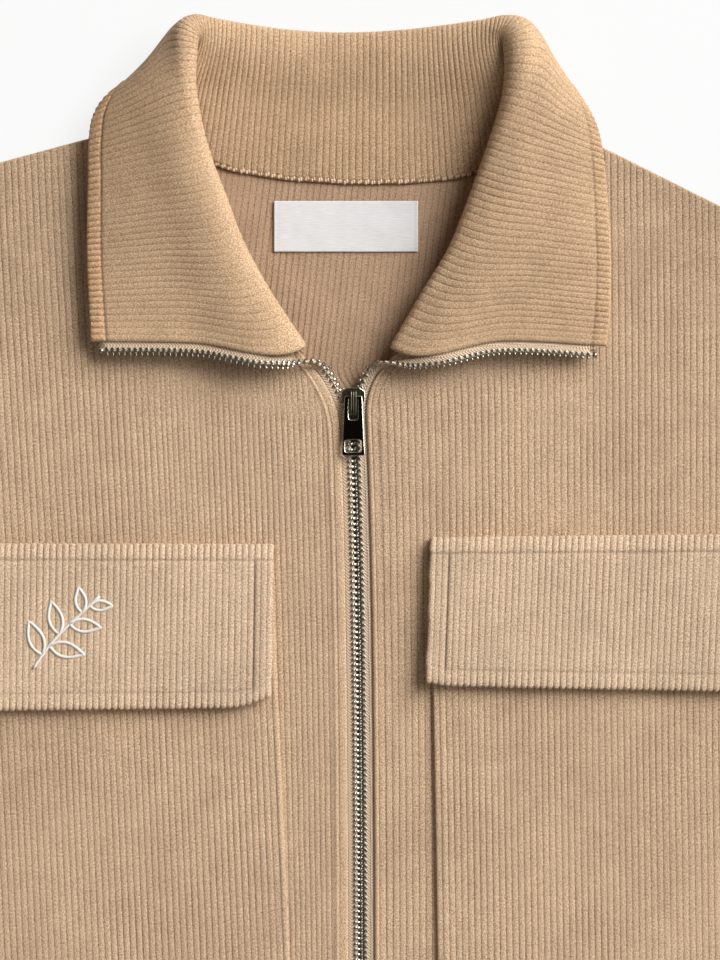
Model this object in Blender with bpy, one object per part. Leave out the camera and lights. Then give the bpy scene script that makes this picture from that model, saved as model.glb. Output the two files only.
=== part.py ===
"""A zip-front corduroy jacket, lying flat on its back with its collar turned down.

Metres, +Z up. X runs across the jacket as it is seen from above and Y from the hem to
the collar. The origin is on the underside of the back panel, under the zip, midway
between hem and shoulder. "left" and "right" are the viewer's. The named sizes and the
tables are in millimetres, which MM turns into metres when a piece is made.
"""

import math

import bmesh
import bpy
import numpy as np

MM = 0.001

# Walls and the gaps between pieces.
CLOTH = 1.8  # corduroy
DOUBLED = 3.0  # collar and pocket flaps, two layers of corduroy
TAPE = 0.9  # woven zip tape
LABEL_WALL = 0.8
SEAM = 0.3  # between pieces that are sewn together or lie on each other

# The front lies over the back. These are heights of the middle of its wall.
BACK_MID = CLOTH / 2
FRONT_LOW = BACK_MID + CLOTH + SEAM  # where front and back are sewn together
FRONT_LOFT = 1.5  # how much higher the front lies away from its edges
LOFT_REACH = 45.0  # the distance over which it comes down to a seam
EDGE_RISE = 0.5  # how much higher it lies along the zip
NECK_RISE = 1.6  # and at the neck corner, where it turns over with the collar
NECK_RISE_REACH = 34.0

# The zip runs almost straight, and leans towards the viewer's left near the neck.
ZIP_X = 2.5
ZIP_LEAN = 4.3
ZIP_LEAN_TOP = 200.0
ZIP_LEAN_REACH = 80.0

HEM_Y = -310.0
LEVEL_TOP = 150.0  # below this the rows of a front's net are level

SIDES = {
    "left": {
        "out": -1.0,
        "edge": 5.9,  # from the zip's middle to the front's folded edge
        "turn": 13.9,  # how far the neck corner is turned outwards
        "turn_from": 182.0,
        "turn_over": 31.8,
        "turn_power": 2.0,
        "neck_corner": 213.8,
        "neck_point": (-87.0, 310.4),  # the highest point of the neckline
        "neck_at": 118,  # and where that is along the collar
        "shoulder": [(-112.0, 304.0), (-149.0, 294.0), (-205.0, 278.5)],
        "tip": (-262.0, 261.0),
        "underarm": (-254.0, 72.0),
        "hem_corner": -246.0,
        "pocket": {"inner": -34.0, "outer": -182.0, "slant": 0.042},
        "flap": {"inner": -34.8, "outer": -186.0, "slant": -0.019, "top": 135.8, "bottom": 67.5},
        "sleeve": {"start": 22.0, "end": 56.0, "length": 500.0},
    },
    "right": {
        "out": 1.0,
        "edge": 5.0,
        "turn": 12.5,
        "turn_from": 186.0,
        "turn_over": 27.2,
        "turn_power": 2.6,
        "neck_corner": 213.2,
        "neck_point": (86.0, 309.0),
        "neck_at": 298,
        "shoulder": [(101.0, 301.0), (151.0, 276.0), (205.0, 250.5)],
        "tip": (256.0, 227.0),
        "underarm": (250.0, 44.0),
        "hem_corner": 250.0,
        "pocket": {"inner": 30.8, "outer": 184.0, "slant": 0.015},
        "flap": {"inner": 29.2, "outer": 186.0, "slant": -0.04, "top": 138.6, "bottom": 76.5},
        "sleeve": {"start": 32.0, "end": 64.0, "length": 500.0},
    },
}
POCKET_BOTTOM = -62.0
FLAP_LIFT = 1.6  # how far a flap's free edge stands off its pocket
EDGE_PULL = 50.0  # how far into a front the turn of its neck corner is felt

# Soft folds of the fronts: ridges, longest across the cloth that they lie in.
FRONT_FOLDS = [
    # x, y, angle, length, width, height
    (-196.0, 96.0, 152.0, 62.0, 15.0, 1.5),
    (-214.0, -120.0, 98.0, 90.0, 16.0, 1.3),
    (-118.0, -196.0, 84.0, 95.0, 18.0, 1.1),
    (206.0, 70.0, 34.0, 64.0, 15.0, 1.6),
    (212.0, -96.0, 84.0, 84.0, 16.0, 1.2),
    (96.0, -214.0, 95.0, 86.0, 18.0, 1.2),
]

# The collar is one band, 90 wide, sewn round the neck. Each row is a section of it:
# at: distance round the neck seam, from the viewer's left front edge
# seam, roll, edge: where it is sewn on, where it folds over, and its free edge
# radius: of the fold, lean: 90 where the fall lies on the stand and -90 where it lies
# under it, out: direction away from the neck, in degrees from +X
# bow: how far the middle of the fall is pushed towards +Y
COLLAR_COLUMNS = (
    "at", "seam_x", "seam_y", "seam_z", "roll_x", "roll_y", "roll_z",
    "edge_x", "edge_y", "edge_z", "radius", "lean", "out", "bow",
)
COLLAR = [
    (0, -22.4, 213.8, 8.4, -21.8, 216.8, 11.2, -110.2, 219.4, 11.2, 2.8, 90, 208, 1.2),
    (18, -37.0, 226.5, 7.2, -37.2, 240.0, 12.6, -111.2, 238.4, 11.2, 3.2, 90, 208, 0.6),
    (36, -50.8, 238.3, 5.8, -48.0, 260.0, 14.0, -111.8, 257.0, 11.2, 3.6, 90, 205, 0.0),
    (54, -62.0, 253.4, 5.2, -55.4, 279.5, 15.8, -111.6, 274.0, 11.0, 3.8, 90, 201, 0.0),
    (68, -69.6, 264.2, 4.9, -61.0, 294.0, 17.4, -111.3, 287.5, 10.6, 4.0, 84, 198, 0.0),
    (82, -77.0, 276.6, 4.6, -65.4, 309.5, 19.2, -111.0, 301.0, 10.0, 4.2, 74, 192, 0.0),
    (94, -82.1, 287.1, 4.3, -68.2, 324.0, 20.8, -109.4, 311.5, 9.2, 4.4, 58, 188, 0.0),
    (106, -85.3, 298.8, 4.4, -69.2, 337.0, 21.8, -104.0, 319.5, 7.6, 4.4, 34, 181, 0.0),
    (118, -87.0, 310.4, 4.8, -69.6, 347.2, 20.6, -93.5, 326.0, 5.0, 4.2, 2, 152, 0.0),
    (130, -79.5, 302.8, 3.6, -66.5, 351.9, 16.4, -79.5, 329.0, 2.8, 3.8, -44, 112, 0.0),
    (144, -69.0, 296.4, 2.5, -59.0, 351.6, 12.0, -63.5, 326.5, 2.0, 3.4, -74, 94, 0.0),
    (162, -52.0, 290.7, 1.8, -46.0, 349.6, 8.8, -48.5, 325.0, 1.8, 3.1, -88, 91, 0.0),
    (184, -30.0, 287.2, 1.7, -26.5, 347.2, 7.0, -27.5, 322.6, 1.7, 2.9, -90, 90, 0.0),
    (208, -5.0, 285.5, 1.7, -4.0, 346.3, 6.4, -4.5, 321.5, 1.7, 2.9, -90, 90, 0.0),
    (232, 20.5, 285.6, 1.7, 19.5, 347.4, 7.0, 20.0, 322.4, 1.7, 2.9, -90, 90, 0.0),
    (254, 42.0, 287.6, 1.8, 37.0, 349.2, 8.8, 39.5, 324.6, 1.8, 3.3, -88, 90, 0.0),
    (272, 60.0, 292.4, 2.5, 51.0, 350.8, 12.4, 56.0, 326.5, 2.0, 4.2, -74, 87, 0.0),
    (286, 73.5, 298.8, 3.6, 60.5, 351.2, 17.2, 71.5, 328.6, 2.8, 5.2, -44, 70, 0.0),
    (298, 86.0, 309.0, 4.8, 65.2, 347.0, 21.6, 86.5, 325.5, 5.0, 6.0, 0, 34, 0.0),
    (310, 82.3, 298.0, 4.4, 64.8, 336.0, 23.0, 95.0, 315.5, 7.6, 6.4, 34, 3, 0.0),
    (322, 77.5, 287.0, 4.3, 62.2, 321.5, 21.8, 99.6, 306.5, 9.2, 6.0, 58, -10, 0.0),
    (334, 71.5, 275.5, 4.6, 57.8, 307.5, 19.8, 101.8, 296.5, 10.0, 5.2, 74, -14, 0.0),
    (348, 63.5, 264.0, 4.9, 52.4, 292.0, 17.8, 103.2, 283.0, 10.6, 4.6, 84, -17, 0.0),
    (362, 55.5, 253.2, 5.2, 47.0, 277.0, 16.0, 104.2, 269.0, 11.0, 4.2, 90, -19, 0.0),
    (380, 43.5, 238.0, 5.8, 38.8, 257.0, 14.0, 105.0, 251.5, 11.2, 3.8, 90, -23, 0.0),
    (398, 29.5, 226.0, 7.2, 27.6, 238.5, 12.6, 104.8, 234.0, 11.2, 3.2, 90, -26, 1.6),
    (416, 15.0, 213.2, 8.4, 14.4, 216.2, 11.2, 103.4, 217.4, 11.2, 2.8, 90, -27, 3.2),
]
NECK_GAP = 0.6  # between its seamed edge and the pieces it is sewn to
COLLAR_CROWN = 1.2  # how far the turned-down fall bows up between fold and edge

# Sleeves: flattened tubes, sewn to the armholes.
SLEEVE_FOLD = 1.3  # radius of the middle of the wall where the tube folds flat
SLEEVE_LOFT = 1.6
SLEEVE_CUFF = 72.0  # half the width of the cuff
SLEEVE_STRAIGHT = 0.28  # the share of its length over which it turns square to its path
SLEEVE_FOLDS = [
    # along, across, angle, length, width, height; along and across are shares
    (0.10, -0.55, 62.0, 46.0, 10.0, 2.4),
    (0.20, -0.35, 48.0, 44.0, 10.0, 2.0),
    (0.47, -0.45, 70.0, 40.0, 9.0, 3.0),
    (0.55, -0.20, 84.0, 42.0, 9.0, 2.6),
    (0.62, -0.50, 100.0, 36.0, 9.0, 2.4),
    (0.84, 0.15, 12.0, 60.0, 12.0, 1.6),
]

# The zip.
TAPE_SHOWS = 5.0  # width of tape outside the cloth, along the neck and the collar
TAPE_BOTTOM = -296.0
TAPE_DROP = 0.7  # how far the tape's middle lies below that of the cloth's
TAPE_TURN = 15.0  # how far to both sides of the neck corner the tape turns over
TAPE_CORNER_Z = 9.6  # height of its sewn edge there
SLIDER_TOP = 200.4
SLIDER_BOTTOM = 188.0
SLIDER_WIDE = 9.7
SLIDER_NARROW = 7.6
SLIDER_SLOT = 1.45  # half the space between its two plates
SLIDER_PLATE = 0.8
POST_WIDTH = 2.4
POST_LENGTH = 3.0
BRIDGE_WIDTH = 2.8
BRIDGE_RISE = 2.0  # inside height of the arch that holds the pull
BRIDGE_WALL = 0.8
BRIDGE_TOP = 199.4
BRIDGE_BOTTOM = 188.4
HINGE_Y = 196.4
HINGE_RISE = 1.15  # of the pull's crossbar over the slider's upper plate
PULL_BAR = 0.55  # radius of that crossbar
PULL_END = 172.2
PULL_WALL = 1.2
PULL_WIDE = 9.6
PULL_NARROW = 7.5
PULL_SLOT = 3.8
PULL_SLOT_LENGTH = 9.3
PULL_WINDOW = (6.4, 4.6)
PULL_WINDOW_FROM_END = 1.6
PULL_LEAN = 2.0  # degrees that the pull hangs down from the level
ZIP_BOX = (8.4, 10.0, 3.2)

LABEL = {"left": -34.6, "right": 25.4, "top": 278.2, "bottom": 257.0}

# The places where the nets of the pieces have their columns and rows.
FRONT_COLUMNS = (7.0, 110.0, 135.0, 208.0, 226.0)  # from the neck corner
FRONT_ROWS = (HEM_Y, -262.0, -214.0, -164.0, -114.0, POCKET_BOTTOM, -18.0, 24.0)
FRONT_UPPER_ROWS = (0.18, 0.38, 0.58, 0.8, 1.0)
BACK_ROWS = 12
COLLAR_ACROSS = 13
SLEEVE_RINGS = 11
SLEEVE_ACROSS = 9
SLEEVE_TURN = 4


def spline(knots, values, at):
    """Smooth curve through a table's values, at the places in `at`."""
    knots, values, at = (np.asarray(v, float) for v in (knots, values, at))
    slope = np.gradient(values, knots, axis=0)
    i = np.clip(np.searchsorted(knots, at, side="right") - 1, 0, len(knots) - 2)
    width = knots[i + 1] - knots[i]
    t = (at - knots[i]) / width
    if values.ndim > 1:
        t, width = t[..., None], width[..., None]
    return (
        (2 * t**3 - 3 * t**2 + 1) * values[i]
        + (t**3 - 2 * t**2 + t) * width * slope[i]
        + (3 * t**2 - 2 * t**3) * values[i + 1]
        + (t**3 - t**2) * width * slope[i + 1]
    )


def ease(t):
    """0 to 1 with a smooth start and end."""
    t = np.clip(t, 0.0, 1.0)
    return t * t * (3 - 2 * t)


def ridge(x, y, row):
    """Height at (x, y) of one soft fold, given as (x, y, angle, length, width, height)."""
    fold_x, fold_y, angle, length, width, height = row
    c, s = math.cos(math.radians(angle)), math.sin(math.radians(angle))
    along = (x - fold_x) * c + (y - fold_y) * s
    across = (y - fold_y) * c - (x - fold_x) * s
    return height * np.exp(-((along / length) ** 2) - (across / width) ** 2)


# ---------------------------------------------------------------- outlines of the body


def zip_x(y):
    return ZIP_X - ZIP_LEAN * np.exp((y - ZIP_LEAN_TOP) / ZIP_LEAN_REACH)


def edge_x(side, y):
    """The front's folded edge beside the zip."""
    turned = np.clip((y - side["turn_from"]) / side["turn_over"], 0.0, 1.0)
    return zip_x(y) + side["out"] * (side["edge"] + side["turn"] * turned ** side["turn_power"])


def neck_corner(side):
    y = side["neck_corner"]
    return float(edge_x(side, y)), y


def side_x(side, y):
    """Side seam, then armhole."""
    (tip_x, tip_y), (arm_x, arm_y) = side["tip"], side["underarm"]
    return np.interp(y, (HEM_Y, arm_y, tip_y), (side["hem_corner"], arm_x, tip_x))


def neckline(side):
    """From the neck corner to the shoulder, along the collar's seam."""
    rows = [row for row in COLLAR if (row[0] - side["neck_at"]) * side["out"] >= 0]
    corner = COLLAR[0 if side["out"] < 0 else -1]
    return [neck_corner(side), *[(row[1], row[2]) for row in rows if row is not corner]]


def front_top(side, x):
    """The front's upper outline: neckline, then shoulder."""
    neck = np.array(sorted(neckline(side)))
    shoulder = np.array(sorted([side["neck_point"], *side["shoulder"], side["tip"]]))
    on_neck = (x - side["neck_point"][0]) * side["out"] < 0
    return np.where(
        on_neck,
        np.interp(x, neck[:, 0], neck[:, 1]),
        np.interp(x, shoulder[:, 0], shoulder[:, 1]),
    )


def front_x(side, column, y):
    """X of a column of the front's net, which is named by its X at the upper outline."""
    corner, tip = neck_corner(side)[0], side["tip"][0]
    share = np.clip((column - corner) / (tip - corner), 0.0, 1.0)
    at_edge = np.exp(-np.abs(column - corner) / EDGE_PULL) * (1 - share)
    edge = edge_x(side, np.minimum(y, side["neck_corner"]))
    return column + (edge - corner) * at_edge + (side_x(side, y) - tip) * share**2


def column_at(side, x, y):
    """The column that passes through (x, y)."""
    columns = np.linspace(neck_corner(side)[0], side["tip"][0], 600)
    places = front_x(side, columns, y)
    order = np.argsort(places)
    return float(np.interp(x, places[order], columns[order]))


def front_z(side, x, y):
    """Height of the middle of the front's wall."""
    (tip_x, tip_y), (neck_x, neck_y) = side["tip"], side["neck_point"]
    from_side = np.abs(x - side_x(side, y))
    shoulder_y = np.interp(np.abs(x), (abs(neck_x), abs(tip_x)), (neck_y, tip_y))
    on_shoulder = ease((np.abs(x) - 60.0) / 40.0)
    from_shoulder = np.where(on_shoulder > 0, shoulder_y - y, LOFT_REACH)
    from_shoulder = LOFT_REACH + (np.maximum(from_shoulder, 0) - LOFT_REACH) * on_shoulder
    loft = ease(from_side / LOFT_REACH) * ease(from_shoulder / LOFT_REACH)
    corner_x, corner_y = neck_corner(side)
    from_corner = np.hypot(x - corner_x, (y - corner_y) * 0.8)
    z = FRONT_LOW + FRONT_LOFT * loft
    z = z + EDGE_RISE * np.exp(-np.abs(x - edge_x(side, y)) / 20.0)
    z = z + NECK_RISE * np.exp(-((from_corner / NECK_RISE_REACH) ** 2))
    for row in FRONT_FOLDS:
        if row[0] * side["out"] > 0:
            z = z + ridge(x, y, row) * loft
    return z


# ------------------------------------------------------------------------ making solids


def material(name, colour, roughness, metallic=0.0):
    made = bpy.data.materials.new(name)
    made.use_nodes = True
    shader = made.node_tree.nodes["Principled BSDF"]
    shader.inputs["Base Color"].default_value = (*colour, 1.0)
    shader.inputs["Roughness"].default_value = roughness
    shader.inputs["Metallic"].default_value = metallic
    return made


def add(name, mesh, finish):
    made = bpy.data.objects.new(name, mesh)
    mesh.materials.append(finish)
    bpy.context.scene.collection.objects.link(made)
    return made


def flat_sheet(name, points, wall, finish):
    """A cloth wall round a net of middle points, points[row][column] in millimetres."""
    rows, columns = points.shape[:2]
    normal = np.cross(np.gradient(points, axis=1), np.gradient(points, axis=0))
    normal = normal / np.linalg.norm(normal, axis=-1, keepdims=True)
    upper = (points + normal * wall / 2).reshape(-1, 3)
    lower = (points - normal * wall / 2).reshape(-1, 3)
    bm = bmesh.new()
    above = [bm.verts.new(p * MM) for p in upper]
    below = [bm.verts.new(p * MM) for p in lower]
    for row in range(rows - 1):
        for column in range(columns - 1):
            a = row * columns + column
            b, c, d = a + 1, a + columns + 1, a + columns
            for layer in (above, below):
                bm.faces.new((layer[a], layer[b], layer[c]))
                bm.faces.new((layer[a], layer[c], layer[d]))
    rim = [(0, column) for column in range(columns)]
    rim += [(row, columns - 1) for row in range(1, rows)]
    rim += [(rows - 1, column) for column in range(columns - 2, -1, -1)]
    rim += [(row, 0) for row in range(rows - 2, 0, -1)]
    rim = [row * columns + column for row, column in rim]
    for a, b in zip(rim, rim[1:] + rim[:1]):
        bm.faces.new((above[a], above[b], below[b], below[a]))
    bmesh.ops.recalc_face_normals(bm, faces=bm.faces[:])
    mesh = bpy.data.meshes.new(name)
    bm.to_mesh(mesh)
    bm.free()
    return add(name, mesh, finish)


def tube_wall(name, outer, inner, finish):
    """A wall between two rings at each section, open at both ends."""
    count = len(outer[0])
    bm = bmesh.new()
    rings = [[bm.verts.new(p * MM) for p in ring] for ring in (*outer, *inner[::-1])]
    for ring, following in zip(rings, rings[1:] + rings[:1]):
        for i in range(count):
            j = (i + 1) % count
            bm.faces.new((ring[i], ring[j], following[j], following[i]))
    bmesh.ops.recalc_face_normals(bm, faces=bm.faces[:])
    mesh = bpy.data.meshes.new(name)
    bm.to_mesh(mesh)
    bm.free()
    mesh.shade_smooth()
    return add(name, mesh, finish)


def slab(name, outline, bottom, top, finish, bevel=0.0):
    """A flat plate with this outline, in millimetres, between two heights."""
    bm = bmesh.new()
    base = bm.faces.new([bm.verts.new((x * MM, y * MM, bottom * MM)) for x, y in outline])
    lifted = bmesh.ops.extrude_face_region(bm, geom=[base])["geom"]
    risen = [item for item in lifted if isinstance(item, bmesh.types.BMVert)]
    bmesh.ops.translate(bm, verts=risen, vec=(0.0, 0.0, (top - bottom) * MM))
    bmesh.ops.recalc_face_normals(bm, faces=bm.faces[:])
    mesh = bpy.data.meshes.new(name)
    bm.to_mesh(mesh)
    bm.free()
    made = add(name, mesh, finish)
    if bevel:
        rounding = made.modifiers.new("edges", "BEVEL")
        rounding.width = bevel * MM
        rounding.segments = 1
        rounding.limit_method = "ANGLE"
    return made


def helper(made):
    """Keeps a cutter or a joined piece out of the finished object."""
    made.hide_render = True
    made.display_type = "WIRE"
    return made


def combine(made, operation, other):
    step = made.modifiers.new(operation.lower(), "BOOLEAN")
    step.operation = operation
    step.object = helper(other)


# ------------------------------------------------------------------------- the garment


def front_net(side, columns, rows, upper_rows):
    """Columns and rows of a front as arrays of X and Y."""
    columns = np.array(columns)
    top = front_top(side, columns)
    y = [np.full(len(columns), row) for row in rows]
    y += [LEVEL_TOP + share * (top - LEVEL_TOP) for share in upper_rows]
    y = np.array(y)
    return front_x(side, columns[None, :], y), y


def front_lines(side):
    """The net's columns and level rows, with the edges of pocket and flap among them."""
    flap, pocket = side["flap"], side["pocket"]
    columns = [neck_corner(side)[0] + side["out"] * step for step in FRONT_COLUMNS]
    columns += [point[0] for point in (*neckline(side), *side["shoulder"], side["tip"])]
    level = (flap["top"] + flap["bottom"]) / 2
    seats = [pocket["inner"], pocket["outer"], flap["inner"], flap["outer"]]
    columns += [column_at(side, x, level) for x in seats]
    rows = [*FRONT_ROWS, side["underarm"][1], flap["bottom"], level, flap["top"], LEVEL_TOP]
    return sorted(columns, key=abs), sorted(rows)


def on_front(side, x, y, rise):
    """Points over the front, moved out from the middle of its wall."""
    return np.stack([x, y, front_z(side, x, y) + rise], axis=-1)


def make_front(name, side, finish):
    columns, rows = front_lines(side)
    x, y = front_net(side, columns, rows, FRONT_UPPER_ROWS)
    return flat_sheet(f"front_{name}", on_front(side, x, y, 0.0), CLOTH, finish)


def make_pocket(name, side, finish):
    """The patch pocket and its flap, on the same columns and rows as the front."""
    columns, rows = front_lines(side)
    flap, pocket = side["flap"], side["pocket"]
    level = (flap["top"] + flap["bottom"]) / 2

    def between(piece, low, high):
        ends = sorted((column_at(side, piece[k], level) for k in ("inner", "outer")), key=abs)
        inside = [c for c in columns if abs(ends[0]) - 0.01 <= abs(c) <= abs(ends[1]) + 0.01]
        return inside, [row for row in rows if low <= row <= high]

    rise = CLOTH + SEAM
    x, y = front_net(side, *between(pocket, POCKET_BOTTOM, flap["top"]), ())
    net = on_front(side, x, y, rise)
    net[..., 0] += pocket["slant"] * (level - y)
    flat_sheet(f"pocket_{name}", net, CLOTH, finish)
    rise += CLOTH / 2 + SEAM + DOUBLED / 2
    x, y = front_net(side, *between(flap, flap["bottom"], flap["top"]), ())
    lift = FLAP_LIFT * ease((flap["top"] - y) / (flap["top"] - flap["bottom"]))
    net = on_front(side, x, y, rise + lift)
    net[..., 0] += flap["slant"] * (level - y)
    flat_sheet(f"flap_{name}", net, DOUBLED, finish)


def make_back(finish):
    """The back lies flat on the ground; its neckline follows the collar's seam."""
    left, right = SIDES["left"], SIDES["right"]
    sewn = [row for row in COLLAR if left["neck_at"] <= row[0] <= right["neck_at"]]
    top = [left["tip"], *left["shoulder"][::-1]]
    top += [(row[1], row[2]) for row in sewn]
    top += [*right["shoulder"], right["tip"]]
    columns, top = np.array(top).T
    share = np.linspace(0.0, 1.0, BACK_ROWS + 1)[:, None]
    y = HEM_Y + share * (top - HEM_Y)
    place = (columns - columns[0]) / (columns[-1] - columns[0])
    x = side_x(left, y) + place * (side_x(right, y) - side_x(left, y))
    middle = np.stack([x, y, np.full_like(x, BACK_MID)], axis=-1)
    return flat_sheet("back", middle, CLOTH, finish)


def collar_row(at):
    """The named values of the collar's section here. Its seam runs straight between rows."""
    table = np.array(COLLAR, float)
    row = dict(zip(COLLAR_COLUMNS, spline(table[:, 0], table, float(at))))
    for k in (1, 2, 3):
        row[COLLAR_COLUMNS[k]] = np.interp(at, table[:, 0], table[:, k])
    return row


def collar_nodes(at):
    """Nine places down the middle of the collar's wall, from neck seam to free edge."""
    row = collar_row(at)
    seam, roll, edge = (
        np.array([row[f"{part}_{axis}"] for axis in "xyz"]) for part in ("seam", "roll", "edge")
    )
    lean, out = math.radians(row["lean"]), math.radians(row["out"])
    outward = np.array([math.cos(out), math.sin(out), 0.0])
    up = np.array([0.0, 0.0, 1.0])
    stack = outward * math.cos(lean) + up * math.sin(lean)
    bulge = up * math.cos(lean) - outward * math.sin(lean)
    centre = roll - bulge * row["radius"]
    turn = [
        centre + row["radius"] * (bulge * math.sin(a) - stack * math.cos(a))
        for a in (0.0, math.pi / 4, math.pi / 2, 3 * math.pi / 4, math.pi)
    ]
    ahead, behind = collar_row(at + 1.0), collar_row(at - 1.0)
    off = np.array([ahead["seam_y"] - behind["seam_y"], behind["seam_x"] - ahead["seam_x"], 0.0])
    off = off * np.sign(off @ (roll - seam)) / np.linalg.norm(off)
    rising = (roll - seam) * [1.0, 1.0, 0.0]
    seam = seam + NECK_GAP * (off + 0.5 * rising / np.linalg.norm(rising))
    crown = up * COLLAR_CROWN * max(math.sin(lean), 0.0)
    fall = (turn[-1] + edge) / 2 + crown + [0.0, row["bow"], 0.0]
    return np.array([seam, (seam + turn[0]) / 2, *turn, fall, edge])


def distances(points):
    """How far each point is along the line through all of them."""
    steps = np.linalg.norm(np.diff(points, axis=0), axis=1)
    return np.concatenate([[0.0], np.cumsum(steps)])


def collar_section(at, count):
    """Points from neck seam to free edge, lying closer together round the fold."""
    nodes = collar_nodes(at)
    along = distances(nodes)
    share = np.linspace(0.0, 1.0, count)
    fold = along[4] / along[-1]
    pull = 3.0 * np.exp(-(((share - fold) / 0.2) ** 2)) * share * (1 - share)
    return spline(along, nodes, (share + pull * (fold - share)) * along[-1])


def make_collar(finish):
    rows = np.array([row[0] for row in COLLAR], float)
    at = np.interp(np.arange(0, len(rows) - 0.5, 0.5), np.arange(len(rows)), rows)
    net = np.array([collar_section(a, COLLAR_ACROSS) for a in at])
    return flat_sheet("collar", net, DOUBLED, finish)


def sleeve_frame(side, along):
    """Middle, half width, direction across and height of a sleeve at a share of its length."""
    out, shape = side["out"], side["sleeve"]
    tip, arm = np.array(side["tip"]), np.array(side["underarm"])
    steps = np.linspace(0.0, 1.0, 121)
    angle = np.radians(shape["start"] + (shape["end"] - shape["start"]) * ease(steps / 0.85))
    pace = shape["length"] / (len(steps) - 1)
    path = np.stack([out * np.cos(angle), -np.sin(angle)], axis=1) * pace
    path = np.concatenate([[(0.0, 0.0)], np.cumsum(path[:-1], axis=0)])
    centre = (tip + arm) / 2 + [np.interp(along, steps, path[:, k]) for k in (0, 1)]
    here = np.interp(along, steps, angle)
    square = np.array([out * math.sin(here), math.cos(here)])
    start = (tip - arm) / np.linalg.norm(tip - arm)
    turned = ease(along / SLEEVE_STRAIGHT)
    across = start * (1 - turned) + square * turned
    across = across / np.linalg.norm(across)
    widest = np.linalg.norm(tip - arm) / 2
    half = widest + (SLEEVE_CUFF - widest) * along**0.8
    return centre, half, across


def make_sleeve(name, side, finish):
    """A tube lying flat: its lower layer on the ground, its upper layer over it."""
    outer, inner = [], []
    shape = side["sleeve"]
    for along in np.linspace(0.0, 1.0, SLEEVE_RINGS + 1):
        centre, half, across = sleeve_frame(side, along)
        flat = np.linspace(-1.0, 1.0, SLEEVE_ACROSS)
        low = BACK_MID + np.zeros_like(flat)
        high = sleeve_height(side, along, flat)
        reach = half - SLEEVE_FOLD - CLOTH / 2
        for rings, offset in ((outer, CLOTH / 2), (inner, -CLOTH / 2)):
            ring = []
            for u, z in zip(flat, low):
                ring.append((u * reach, z - offset))
            ring += sleeve_fold(reach, low[-1], high[-1], offset, 1.0)
            for u, z in zip(flat[::-1], high[::-1]):
                ring.append((u * reach, z + offset))
            ring += sleeve_fold(reach, low[0], high[0], offset, -1.0)
            points = []
            for u, z in ring:
                place = centre + across * u
                place[0] += side["out"] * SEAM * (along == 0)
                points.append((place[0], place[1], z))
            rings.append(np.array(points))
    return tube_wall(f"sleeve_{name}", outer, inner, finish)


def sleeve_height(side, along, flat):
    """Height of the middle of the upper layer, at shares across from underarm to shoulder."""
    edge = BACK_MID + 2 * SLEEVE_FOLD
    loft = SLEEVE_LOFT * ease(along / 0.12) + 1.0
    shape = side["sleeve"]
    z = edge + loft * (1 - flat**2) ** 0.8
    for at, across, angle, length, width, height in SLEEVE_FOLDS:
        x = (along - at) * shape["length"]
        y = (flat - across) * SLEEVE_CUFF
        z = z + ridge(x, y, (0.0, 0.0, angle, length, width, height)) * (1 - flat**4) * ease(along / 0.08)
    return z


def sleeve_fold(reach, low, high, offset, way):
    """The points round one side of the flattened tube."""
    middle, radius = (low + high) / 2, (high - low) / 2 + offset
    points = []
    for k in range(1, SLEEVE_TURN):
        turn = math.pi * k / SLEEVE_TURN
        if way < 0:
            turn = math.pi - turn
        wide = SLEEVE_FOLD + offset
        points.append((way * (reach + wide * math.sin(turn)), middle - radius * math.cos(turn)))
    return points


# -------------------------------------------------------------------------------- zip


def tape_path(name):
    """The line the tape is sewn along, the way out from it, and how far the tape reaches.

    On the front the tape faces up. It turns over at the neck with the collar, so its other
    face shows along the turned-down fall.
    """
    side = SIDES[name]
    y = np.concatenate([
        np.linspace(TAPE_BOTTOM, 160.0, 9),
        [168.0, 176.0, 182.0, 188.0, 194.0, SLIDER_TOP, 206.0],
    ])
    x = edge_x(side, y)
    drop = TAPE_DROP * (1 - ease((y - SLIDER_TOP) / 12.0))
    front = np.stack([x, y, front_z(side, x, y) - drop], axis=-1)
    corner_x, corner_y = neck_corner(side)
    corner = [corner_x - side["out"] * 0.5, corner_y - 2.2, TAPE_CORNER_Z]
    section = collar_section(COLLAR[0 if name == "left" else -1][0], COLLAR_ACROSS)
    fall = section[np.hypot(*(section[:, :2] - section[0, :2]).T) > TAPE_TURN]
    line = np.concatenate([front, [corner], fall])
    along = distances(line)
    bend = along[len(y)]
    fine = bend + np.linspace(-TAPE_TURN, TAPE_TURN, 11)
    places = np.concatenate([along[along < fine[0] - 2], fine, along[along > fine[-1] + 2]])
    path = spline(along, line, places)
    share = ease((places - bend) / (2 * TAPE_TURN) + 0.5)
    heading = np.gradient(path[:, :2], places, axis=0)
    heading = heading / np.linalg.norm(heading, axis=1)[:, None]
    inward = -side["out"] * np.stack([heading[:, 1], -heading[:, 0]], axis=1)
    turn = math.pi * share[:, None]
    way = np.hstack([inward * np.cos(turn), np.sin(turn)])
    # Standing on edge, it keeps clear of the cloth by half its own wall.
    clear = np.stack([-side["out"] * (1 - share), 0.3 - 1.3 * share, 0 * share], axis=1)
    clear = clear / np.linalg.norm(clear, axis=1)[:, None] * TAPE * 0.9 * np.sin(turn)
    to_zip = np.abs(zip_x(path[:, 1]) - path[:, 0]) - chain_gap(path[:, 1])
    return path + clear, way, np.minimum(to_zip, TAPE_SHOWS)


def chain_gap(y):
    """How far a tape's edge stays from the zip's middle: close below the slider."""
    return 0.35 + 2.0 * ease((y - SLIDER_BOTTOM - 3.0) / 6.0)


def make_tape(name, finish):
    path, way, reach = tape_path(name)
    net = np.array([path + way * SEAM, path + way * reach[:, None] / 2, path + way * reach[:, None]])
    return flat_sheet(f"zip_tape_{name}", net, TAPE, finish)


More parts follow.
